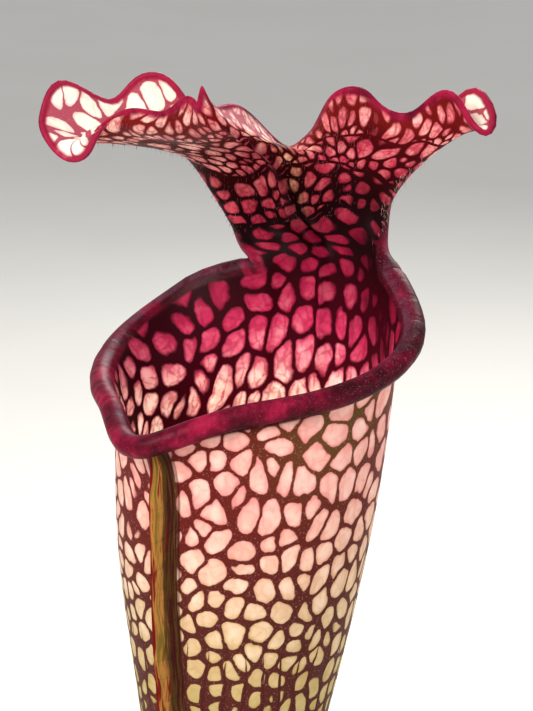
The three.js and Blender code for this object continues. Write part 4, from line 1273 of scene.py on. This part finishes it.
def sword(foot, tip, width, thick, bow, rows=170, around=48):
    """Half width (w/2) min(1, 0.45 + 2.2 p) sqrt(1 - p^3), with a rib and fine veins raised on both faces."""
    foot, tip = np.array(foot, float), np.array(tip, float)
    lean = unit((tip - foot) * [1, 1, 0])
    p, t = sleeve(rows, around)
    line = curve(foot, foot + [0, 0, (tip[2] - foot[2]) / 2] - lean * bow * 0.3, tip, p[:, 0])
    outline = np.minimum(1, 0.45 + 2.2 * p) * np.sqrt(np.maximum(0.004, 1 - p**3))
    half = thick / 2 * (1.6 - 0.9 * p) * np.maximum(0.25, outline)
    x = np.cos(t)
    lens = np.sin(t) * (1 - 0.45 * np.abs(x) ** 3)
    rib = 1 + 0.35 * bell(x, 0, 0.14) - 0.14 * bell(np.abs(x), 0.3, 0.14)
    veins = 1 + 0.035 * np.cos(26 * x)
    sway = 0.5 * np.sin(7 * p + foot[0]) * smooth(p, 0.2, 0.6) * x
    across = width / 2 * outline * x
    points, faces = sweep(line, np.cross(lean, [0, 0, 1]), across, half * lens * rib * veins + sway)
    return points, faces, {"across": np.append(x, [0, 0]), "along": np.append(p, [0, 1])}


# %% The finish of a flat leaf
def sword_finish(name, fresh, red):
    """Green with darker lines and redder veins along it, yellower edges and a dry tip."""
    g = Graph(name)
    place = g.place()
    across = g.number("across")
    along = g.number("along")
    lines = g.noise(g.join(across * 9.0, along * 1.6, red * 7.0), 2.4, 3.0, 0.6)
    cloud = g.noise(place, 60.0, 3.0)
    fleck = g.noise(place, 900.0, 2.0, 0.7)
    vein = (1.0 - abs(across).ramp(0.03, 0.16)) * 0.6 + lines.ramp(0.55, 0.7) * red
    tip = (along + (cloud - 0.5) * 0.05 + (fleck - 0.5) * 0.02).ramp(0.955, 0.975)
    skin = g.layers(
        fresh,
        ("4F6E24", lines.ramp(0.42, 0.62)),
        ("A9AE4C", abs(across).ramp(0.7, 1.0) * 0.6 + cloud.ramp(0.5, 0.75) * 0.25),
        ("8A2A1E", vein * along.ramp(0.05, 0.9)),
        ("C9B98A", 1.0 - along.ramp(0.01, 0.1)),
        (g.mix("6A4526", "A98452", fleck), tip),
        ("5A4A22", fleck.ramp(0.66, 0.72) * 0.5),
    )
    normal = g.bump(lines * 0.6 + fleck * 0.15, 0.0003, 0.6)
    return g.finish(Base_Color=skin, Roughness=0.42 + fleck * 0.15 + tip * 0.25, Normal=normal,
                    Specular_IOR_Level=0.35, Coat_Weight=0.15 - tip * 0.15, Coat_Roughness=0.3,
                    Subsurface_Weight=0.08, Subsurface_Radius=(0.002, 0.003, 0.001), Subsurface_Scale=0.4)


for number, (shape, looks) in enumerate(SWORDS, 1):
    sword_points, sword_faces, sword_numbers = sword(*shape)
    look = sword_finish(f"sword_leaf_{number}_green", *looks)
    make_piece(f"flat_leaf_{number}", sword_points, sword_faces, look, "green_leaf",
               f"sword_leaf_{number}", sword_numbers)

# %% [markdown]
# ## The creeping stem
# The leaves grow from a rhizome, a thick stem that creeps at the surface of the mix. Old leaf scars ring
# it, papery scales sheathe each leaf's foot, and roots go down from it. It is a lumpy ring carried along a
# line, with a turned sheath for each leaf and thin swept roots. The parts run into one another and aren't
# joined by a boolean, because scales and mix hide where they meet.

# %% The stem
STEM_RADIUS = 7.5
STEM_LINE = ([-42, 4, 95], [-12, -10, 97], [24, -3, 96])
LEAF_FEET = [
    # x, y, the sheath's radius, and its radius where it grips the leaf
    (-13, -9, 7.4, 6.7), (14, -2, 4.6, 3.6), (-27, -6, 4.6, 4.1),
    (-4, 3, 3.6, 2.9), (2, -14, 3.6, 2.9), (-31, 5, 3.6, 2.9),
]
ROOTS = [
    ([-34, 1, 95], [-40, 12, 34], [-10, 6, 0]), ([-22, -5, 95], [-14, -26, 26], [-8, -8, 0]),
    ([-8, -6, 95], [-2, 20, 22], [6, 10, 0]), ([6, -5, 95], [22, -22, 30], [8, -8, 0]),
    ([16, -4, 95], [34, 14, 38], [10, 4, 0]),
]


def stem(rows=150, around=72):
    """Radius 7.5 rounded off at both ends, with a scar ring every 3.5 mm and small lumps."""
    p, t = sleeve(rows, around)
    rounded = np.sqrt(np.maximum(0.03, 1 - (2 * p - 1) ** 4))
    scar = (p * 19 + 0.12 * np.sin(3 * t) + 0.08 * np.sin(5 * t + 9 * p)) % 1
    knobs = lattice_noise(p * 60, (1 + np.cos(t)) * 6 + 30, 2.4, 3)
    radius = STEM_RADIUS * rounded * (0.97 + 0.07 * np.sin(p * 34) + 0.07 * scar**3 + 0.07 * (knobs - 0.5))
    line = curve(*STEM_LINE, p[:, 0])
    return sweep(line, np.array([0.0, 0, 1]), radius * np.cos(t), radius * 1.1 * np.sin(t))


# %% Scales and roots
def sheath(x, y, radius, grip):
    """Scales round a leaf's foot: a turned body that steps out at each scale, closed inside the leaf."""
    places = np.linspace(0, 1, 46)
    # the outline's rows are place, radius and height
    outline = np.array([
        [0, 0, 89], [0.1, radius * 1.2, 89.5], [0.3, radius * 1.42, 95], [0.55, radius * 1.24, 101],
        [0.75, radius * 1.02, 105], [0.9, grip + 0.55, 108.2], [0.93, grip + 0.2, 108.6],
        [0.97, grip - 0.9, 107.8], [1, 0, 107.4],
    ])
    profile = np.stack([np.interp(places, outline[:, 0], outline[:, i]) for i in (1, 2)], 1)
    around = 60
    grid, faces = turned(profile, around)
    turn = full_turn(around)
    height = grid[..., 2]
    step = (height / 3.1 + 2.0 * turn / (2 * np.pi)) % 1
    swell = 1 + 0.07 * (1 - step) ** 2 * smooth(height, 97, 101) * (1 - smooth(height, 107.4, 108.2))
    grid[..., :2] *= swell[..., None]
    top = smooth(height, 106, 108.4) * 0.5 * np.sin(3 * turn + x)
    points = grid + np.stack([np.full_like(top, x), np.full_like(top, y), top], -1)
    return weld(points.reshape(-1, 3), faces)


def root(start, finish, bow):
    """A thin tube along a bent line, 1.7 mm in radius at the stem and 0.65 mm at its end."""
    place = np.linspace(0, 1, 40)
    line = curve(start, (np.array(start) + finish) / 2 + bow, finish, place)
    wiggle = 0.6 * np.stack([np.sin(place * 31), np.cos(place * 23), 0 * place], 1)
    line = line + wiggle * smooth(place, 0, 0.3)[:, None]
    turn = full_turn(12)
    radius = 1.3 * (1.3 - 0.8 * place)[:, None]
    return sweep(line, np.array([1.0, 0, 0]), radius * np.cos(turn), radius * np.sin(turn))


# %% The finish of the stem
def bark_finish():
    """Brown, ringed across; fresh scales are paler and redder, and peat clings low down."""
    g = Graph("rhizome_bark")
    place = g.place()
    rings = g.noise(g.stretched(place, (1.0, 0.4, 0.4)), 900.0, 4.0, 0.65)
    cloud = g.noise(place, 150.0, 3.0)
    height = g.part(place, "Z") * MM_PER_METRE
    fresh = (height + (cloud - 0.5) * 6.0).ramp(103.6, 107.6)
    skin = g.layers(
        "3A2015",
        ("8A5A3A", rings.ramp(0.35, 0.7)),
        ("5E1E16", cloud.ramp(0.5, 0.7) * 0.7),
        (g.mix("C2B07A", "A8423A", rings.ramp(0.45, 0.65)), fresh),
        ("1E120B", 1.0 - (height + cloud * 5.0).ramp(100.0, 104.6)),
    )
    normal = g.bump(rings + cloud * 0.4, 0.0008, 0.8)
    return g.finish(Base_Color=skin, Roughness=0.88 - fresh * 0.3 + (rings - 0.5) * 0.2, Normal=normal)


stem_parts = [stem()] + [sheath(*foot) for foot in LEAF_FEET] + [root(*line) for line in ROOTS]
stem_points, stem_faces = together(stem_parts)
make_piece("creeping_stem", stem_points, stem_faces, bark_finish(), "rhizome_bark", "rhizome")

# %% [markdown]
# ## The pot
# The pot is moulded from plastic: a cone with a stiff band round its top, rounded edges and a floor that
# stands on a foot ring, with four drain holes. A Bevel modifier could round the edges, but here each corner
# has a radius of its own. So the outline is a line of corners, each rounded off, turned round the axis. The
# two sides of the floor are flat rings of triangles with the holes left out, joined through each hole.

# %% Sizes of the pot
POT_HEIGHT, RIM_RADIUS, FOOT_RADIUS, WALL = 114.0, 65.0, 47.0, 2.2
BAND_FOOT, BAND_STEP = 101.0, 2.0
FLOOR_UNDER, FLOOR_TOP = 3.0, 5.5
HOLE_RADIUS, HOLE_CIRCLE, HOLES, HOLE_AROUND = 4.5, 27.0, 4, 40
EASED = 0.3
WALL_SLOPE = (RIM_RADIUS - BAND_STEP - FOOT_RADIUS) / POT_HEIGHT


def pot_outside(z):
    """Radius of the cone at a height."""
    return FOOT_RADIUS + WALL_SLOPE * z


def hole_middle(i):
    """The middle of one drain hole, half way between two axes."""
    turn = (i + 0.5) * 2 * np.pi / HOLES
    return HOLE_CIRCLE * np.array([math.cos(turn), math.sin(turn)])


# %% Outline, floor and holes
def rounded_line(corners, reaches, steps=7):
    """Each corner is replaced by a quadratic Bezier curve that starts and ends one reach away from it."""
    corners = np.asarray(corners, float)
    line = [corners[:1]]
    for before, here, after, reach in zip(corners[:-2], corners[1:-1], corners[2:], reaches):
        a, b = here + reach * unit(before - here), here + reach * unit(after - here)
        line.append(curve(a, here, b, np.linspace(0, 1, steps)))
    return np.concatenate([*line, corners[-1:]])


def floor_disc(radius, height, around, facing):
    """A flat ring of triangles inside a circle, without the four holes."""
    hole = circle(HOLE_RADIUS + EASED, HOLE_AROUND)
    loops = [circle(radius, around)] + [hole_middle(i) + hole for i in range(HOLES)]
    starts = np.cumsum([0] + [len(loop) for loop in loops])
    edges = [(a + i, a + (i + 1) % (b - a)) for a, b in zip(starts, starts[1:]) for i in range(b - a)]
    flat, _, cut, _, _, _ = delaunay_2d_cdt([Vector(p) for p in np.concatenate(loops)], edges, [], 1, 1e-6)
    flat = np.array([[p.x, p.y] for p in flat])
    cut = np.array(cut)
    loop_of = np.searchsorted(starts, cut, side="right")
    in_hole = (loop_of[:, 0] > 1) & (loop_of[:, 0] == loop_of[:, 1]) & (loop_of[:, 1] == loop_of[:, 2])
    cut = cut[~in_hole]
    a, b, c = (flat[cut[:, i]] for i in range(3))
    turning = (b - a)[:, 0] * (c - a)[:, 1] - (b - a)[:, 1] * (c - a)[:, 0]
    cut[turning * facing < 0] = cut[turning * facing < 0][:, ::-1]
    return np.column_stack([flat, np.full(len(flat), height)]), cut


def hole_wall(i):
    """The turned wall of one drain hole, with its edges eased by 0.3 mm."""
    out = HOLE_RADIUS + np.array([EASED, EASED / 3, 0])
    into = np.array([0, EASED / 3, EASED])
    heights = np.concatenate([FLOOR_TOP - into, FLOOR_UNDER + into[::-1]])
    grid, faces = turned(np.stack([np.concatenate([out, out[::-1]]), heights], 1), HOLE_AROUND)
    return (grid + [*hole_middle(i), 0]).reshape(-1, 3), faces


# %% The pot in one piece
POT_AROUND = 200
under_radius, top_radius = 40.5, pot_outside(FLOOR_TOP) - WALL - 1.4
pot_corners = [
    (under_radius, FLOOR_UNDER), (42, 0), (pot_outside(0), 0), (pot_outside(BAND_FOOT), BAND_FOOT),
    (RIM_RADIUS - 0.75, BAND_FOOT + 0.6), (RIM_RADIUS, POT_HEIGHT),
    (pot_outside(POT_HEIGHT) - WALL, POT_HEIGHT), (pot_outside(FLOOR_TOP) - WALL, FLOOR_TOP),
    (top_radius, FLOOR_TOP),
]
pot_line = rounded_line(pot_corners, [0.7, 0.9, 0.5, 0.8, 1.2, 0.9, 1.0])
pot_wall, pot_wall_faces = turned(pot_line, POT_AROUND)
pot_parts = [(pot_wall.reshape(-1, 3), pot_wall_faces)]
pot_parts.append(floor_disc(under_radius, FLOOR_UNDER, POT_AROUND, -1))
pot_parts.append(floor_disc(top_radius, FLOOR_TOP, POT_AROUND, 1))
pot_parts += [hole_wall(i) for i in range(HOLES)]
pot_points, pot_faces = weld(*together(pot_parts))


# %% The finish of the pot
def pot_finish():
    """Off-white, with stains that run down, dust at the foot, splashes, scuffs and a wet line inside."""
    g = Graph("moulded_pot_plastic")
    place = g.place()
    x, y, z = (g.part(place, axis) * MM_PER_METRE for axis in "XYZ")
    grain = g.noise(place, 2400.0, 2.0, 0.6)
    cloud = g.noise(place, 22.0, 3.0)
    stain = g.noise(g.stretched(place, (1.0, 1.0, 0.25)), 90.0, 4.0, 0.6)
    splash = g.noise(place, 420.0, 3.0, 0.75)
    scuff = g.noise(g.stretched(place, (0.25, 0.25, 2.0)), 700.0, 3.0, 0.7)
    inner_wall = ((x * x + y * y) ** 0.5 - z * WALL_SLOPE).ramp(46.4, 45.6)
    foot = 1.0 - (z + (stain - 0.5) * 30.0).ramp(0.0, 22.0)
    wet = 1.0 - (z + (stain - 0.5) * 14.0).ramp(102.0, 110.0)
    body = g.layers(
        "DEDBD2",
        ("D2CEC3", cloud.ramp(0.35, 0.65)),
        ("A59C86", foot * 0.5),
        ("B9B79A", stain.ramp(0.58, 0.8) * 0.22),
        ("6E6048", inner_wall * wet * 0.75),
        ("4A3A2A", (splash.ramp(0.66, 0.7) * (foot * 0.8 + inner_wall * 0.6)).smallest(0.8)),
        ("F2F0EA", scuff.ramp(0.64, 0.72) * 0.4),
    )
    normal = g.bump(grain * 0.3 + scuff.ramp(0.62, 0.74) * 0.4, 0.0002, 0.5)
    rough = 0.42 + cloud * 0.1 + foot * 0.15 + inner_wall * wet * 0.2 - scuff.ramp(0.64, 0.72) * 0.08
    return g.finish(Base_Color=body, Roughness=rough, Normal=normal, Specular_IOR_Level=0.45)


pot = make_piece("moulded_pot", pot_points, pot_faces, pot_finish(), "pot_plastic", "pot")
pot.data.set_sharp_from_angle(angle=40 * RAD)

# %% [markdown]
# ## The potting mix
# Pitcher plants grow in peat with bark and perlite. The mix is a turned body whose top is roughened by
# noise at three sizes. Bark chips, white grains and fibres lie on it. Geometry nodes could scatter them,
# but a seeded numpy generator can keep them clear of the leaves and gives the same places each time. Each
# kind is one mesh of many copies of one small shape, because so many objects would be slow to load.

# %% The mix
MIX_TOP, MIX_DOME, GAP = 101.0, 1.5, 0.3
MIX_RADIUS = pot_outside(MIX_TOP - MIX_DOME) - WALL - GAP


def mix_height(x, y):
    """101 mm less 1.5 times the cube of the place outwards, and noise at 9, 4 and 1.6 mm."""
    out = np.sqrt(x * x + y * y) / MIX_RADIUS
    rough = sum(size * (lattice_noise(x + 80, y + 80, cell, seed) - 0.5)
                for size, cell, seed in ((1.6, 9.0, 11), (1.1, 4.0, 12), (0.8, 1.6, 13)))
    return MIX_TOP - MIX_DOME * out**3 + rough * (1 - 0.6 * smooth(out, 0.93, 1))


def mix_body(rings=84, around=320):
    """Turned from the middle of the underside, up the pot's wall and back to the middle of the rough top."""
    bottom = FLOOR_TOP + GAP
    foot_radius = pot_outside(bottom) - WALL - 1.6 - GAP
    side_heights = np.linspace(bottom + 1.5, MIX_TOP - MIX_DOME - 2, 14)
    side = np.stack([pot_outside(side_heights) - WALL - GAP, side_heights], 1)
    top = np.linspace(MIX_RADIUS, 0, rings)
    under = [[0, bottom], [foot_radius * 0.5, bottom], [foot_radius, bottom]]
    profile = np.concatenate([under, side, np.stack([top, np.full(rings, MIX_TOP)], 1)])
    grid, faces = turned(profile, around)
    grid[-rings:, :, 2] = mix_height(grid[-rings:, :, 0], grid[-rings:, :, 1])
    return weld(grid.reshape(-1, 3), faces)


# %% The finish of the mix
def mix_finish():
    """Dark brown clods with paler fibres and crumbs."""
    g = Graph("peat_mix")
    place = g.place()
    clod = g.noise(place, 260.0, 4.0, 0.7)
    fibre = g.noise(g.stretched(place, (1.0, 0.15, 1.0), 0.7), 1500.0, 3.0, 0.7)
    crumb = g.node("ShaderNodeTexVoronoi", {"feature": "F1"}, {"Vector": place, "Scale": 900.0})
    grit = g.node("ShaderNodeTexVoronoi", {"feature": "F1"}, {"Vector": place, "Scale": 420.0}, "Color")
    brown = g.layers(
        "1C120C",
        ("4A3222", clod.ramp(0.3, 0.7)),
        ("7A5A3C", fibre.ramp(0.6, 0.75) * 0.6),
        ("8A6A4A", g.part(grit, "X").ramp(0.9, 0.95) * 0.6),
    )
    normal = g.bump(clod + crumb * 0.6 + fibre * 0.4, 0.0015, 0.9)
    rough = 0.9 + (clod - 0.5) * 0.15
    return g.finish(Base_Color=brown, Roughness=rough, Normal=normal, Specular_IOR_Level=0.2)


mix_points, mix_faces = mix_body()
make_piece("mix_bed", mix_points, mix_faces, mix_finish(), "peat", "potting_mix")

# %% A ball of twenty faces
gold = (1 + 5**0.5) / 2
ball = unit(np.array([
    [-1, gold, 0], [1, gold, 0], [-1, -gold, 0], [1, -gold, 0], [0, -1, gold], [0, 1, gold],
    [0, -1, -gold], [0, 1, -gold], [gold, 0, -1], [gold, 0, 1], [-gold, 0, -1], [-gold, 0, 1],
]))
ball_faces = np.array([
    [0, 11, 5], [0, 5, 1], [0, 1, 7], [0, 7, 10], [0, 10, 11], [1, 5, 9], [5, 11, 4], [11, 10, 2], [10, 7, 6],
    [7, 1, 8], [3, 9, 4], [3, 4, 2], [3, 2, 6], [3, 6, 8], [3, 8, 9], [4, 9, 5], [2, 4, 11], [6, 2, 10],
    [8, 6, 7], [9, 8, 1],
])


# %% Places, lumps and fibres
def free_places(count, rng, clear):
    """Random places on the mix that keep clear of the leaves' feet and the pot's wall."""
    radius = (MIX_RADIUS - 2.5) * np.sqrt(rng.random(count * 3))
    turn = rng.random(count * 3) * 2 * np.pi
    x, y = radius * np.cos(turn), radius * np.sin(turn)
    near = np.min([np.hypot(x - foot[0], y - foot[1]) - foot[2] * 1.3 for foot in LEAF_FEET], axis=0)
    spine = curve(*STEM_LINE, np.linspace(0, 1, 30))
    off = np.min(np.hypot(x[:, None] - spine[:, 0], y[:, None] - spine[:, 1]), axis=1)
    keep = np.flatnonzero((near > clear) & (off > 5))[:count]
    return x[keep], y[keep]


def lumps(count, sizes, uneven, sink, clear, seed):
    """Copies of a ball of twenty faces, stretched, dented and turned at random, half sunk in the mix."""
    rng = np.random.default_rng(seed)
    x, y = free_places(count, rng, clear)
    count = len(x)
    scale = np.array(sizes) * rng.uniform(0.5, 1.2, (count, 1)) * rng.uniform(0.75, 1.25, (count, 3))
    shape = ball[None] * (1 + uneven * rng.uniform(-1, 1, (count, len(ball), 1))) * scale[:, None]
    turn, tilt = rng.random(count) * 2 * np.pi, rng.normal(0, 0.3, count)
    shape = np.einsum("nij,nkj->nki", turn_about(2, turn) @ turn_about(0, tilt), shape)
    height = mix_height(x, y) + scale[:, 2] * sink
    points = shape + np.stack([x, y, height], -1)[:, None]
    return points.reshape(-1, 3), copies(ball_faces, len(ball), count)


def fibres(count, seed):
    """Thin bent threads of four sides that lie on the mix."""
    rng = np.random.default_rng(seed)
    x, y = free_places(count, rng, 1.0)
    parts = []
    place = np.linspace(0, 1, 7)
    turn = full_turn(4)
    for px, py in zip(x, y):
        way = rng.random() * 2 * np.pi
        length = rng.uniform(4, 11)
        bend = rng.normal(0, 2.2, 2)
        flat = np.array([px, py]) + length * (place[:, None] - 0.5) * [math.cos(way), math.sin(way)]
        flat = flat + np.sin(place * np.pi)[:, None] * bend
        flat *= np.minimum(1, (MIX_RADIUS - 1.5) / np.linalg.norm(flat, axis=1))[:, None]
        arch = 0.25 + rng.uniform(0, 0.9) * np.sin(place * np.pi)
        line = np.column_stack([flat, mix_height(flat[:, 0], flat[:, 1]) + arch])
        radius = 0.17 * (1 - 0.5 * place)[:, None]
        parts.append(sweep(line, np.array([0, 0, 1.0]), radius * np.cos(turn), radius * np.sin(turn)))
    return together(parts)


# %% Chips, grains and fibres as pieces
def loose_finish(name, dark, light, scale, roughness):
    """Grainy between two colours; scale is that of the grain."""
    g = Graph(name)
    place = g.place()
    cloud = g.noise(place, 120.0, 2.0)
    grain = g.noise(place, scale, 4.0, 0.7)
    tone = g.mix(dark, light, (cloud * 0.6 + grain * 0.6 - 0.1).ramp(0.2, 0.8))
    rough = roughness + (grain - 0.5) * 0.2
    normal = g.bump(grain, 0.0005, 0.8)
    return g.finish(Base_Color=tone, Roughness=rough, Normal=normal, Specular_IOR_Level=0.25)


chip_look = loose_finish("bark_chip", "26150D", "764B2C", 1300.0, 0.85)
grain_look = loose_finish("white_grain", "B9B4A8", "F4F2EC", 1800.0, 0.9)
fibre_look = loose_finish("peat_fibre", "4A3020", "A98A5E", 2400.0, 0.9)
# each kind of lump: count, sizes in mm, unevenness, share sunk, distance to a leaf's foot, seed
make_piece("bark_chips", *lumps(420, (2.6, 1.7, 0.9), 0.28, 0.35, 1.5, 21), chip_look, "peat", flat=True)
make_piece("small_chips", *lumps(700, (1.1, 0.8, 0.5), 0.3, 0.3, 0.6, 22), chip_look, "peat", flat=True)
make_piece("white_grains", *lumps(170, (1.25, 1.15, 1.0), 0.16, 0.3, 1.0, 23), grain_look, "peat", flat=True)
make_piece("fibres", *fibres(120, 24), fibre_look, "peat")

# %% [markdown]
# ## Floor, light and camera
# The object stands on a plain pale floor, wide enough for views from all sides, in soft light. The camera
# looks slightly down at the pitcher's mouth from in front.

# %% Floor
def backdrop(radii=(0.2, 1.0, 3.0, 9.0), around=96):
    """A flat disc of rings, in metres."""
    disc = np.concatenate([circle(radius, around) for radius in radii] + [np.zeros((1, 2))])
    rings = np.arange(len(radii) * around).reshape(len(radii), around)
    centre = fan(rings.size, rings[0], np.roll(rings[0], -1))
    faces = np.concatenate([triangles(squares(closed(rings)[::-1])), centre])
    g = Graph("floor")
    cloud = g.noise(g.place(), 6.0, 4.0)
    mesh = bpy.data.meshes.new("floor")
    mesh.from_pydata(np.column_stack([disc, np.zeros(len(disc))]).tolist(), [], faces.tolist())
    mesh.materials.append(g.finish(Base_Color=g.mix("EDEAE4", "E4E1DA", cloud), Roughness=0.8))
    floor = add_object("floor", mesh)


backdrop()


# %% Lamps and sky
def lamp(name, place, aim, size, power, tint):
    """A square area lamp, in metres and watts, that the camera doesn't see."""
    light = bpy.data.lights.new(name, "AREA")
    light.energy = power
    light.size = size
    light.color = tint
    lamp_object = add_object(name, light)
    lamp_object.location = place
    lamp_object.visible_camera = False
    lamp_object.rotation_euler = (Vector(aim) - Vector(place)).to_track_quat("-Z", "Y").to_euler()


middle_of_light = (0, 0, 0.3)
lamp("key", (-0.7, -0.9, 1.1), middle_of_light, 0.7, 18.5, (1, 0.98, 0.95))
lamp("fill", (1.0, -0.7, 0.6), middle_of_light, 1.0, 5, (0.95, 0.98, 1))
lamp("rim", (0.3, 1.0, 1.0), middle_of_light, 0.8, 13, (1, 0.99, 0.96))
world = bpy.data.worlds.new("room")
world.use_nodes = True
sky = world.node_tree.nodes["Background"]
sky.inputs["Color"].default_value = (0.95, 0.97, 1, 1)
sky.inputs["Strength"].default_value = 0.52
bpy.context.scene.world = world
bpy.context.scene.view_settings.view_transform = "Standard"

# %% Camera
ELEVATION = 15 * RAD
DISTANCE = 0.55
METRES_PER_PIXEL = 0.00018
PICTURE_HEIGHT = 711
MOUTH_RIGHT_OF_MIDDLE, MOUTH_ABOVE_MIDDLE = -8.5, 3.5
aim_pixels = np.array([-MOUTH_RIGHT_OF_MIDDLE, 0, -MOUTH_ABOVE_MIDDLE / math.cos(ELEVATION)])
aim = MOUTH * MM + aim_pixels * METRES_PER_PIXEL
camera_data = bpy.data.cameras.new("camera")
camera = add_object("camera", camera_data)
camera.location = aim + DISTANCE * np.array([0, -math.cos(ELEVATION), math.sin(ELEVATION)])
camera.rotation_euler = (math.pi / 2 - ELEVATION, 0, 0)
camera_data.sensor_width = 36
camera_data.lens = camera_data.sensor_width * DISTANCE / METRES_PER_PIXEL / PICTURE_HEIGHT
camera_data.clip_start = 0.01
bpy.context.scene.camera = camera
print("camera:", [round(x, 3) for x in camera.location], "lens", round(camera_data.lens), "mm")
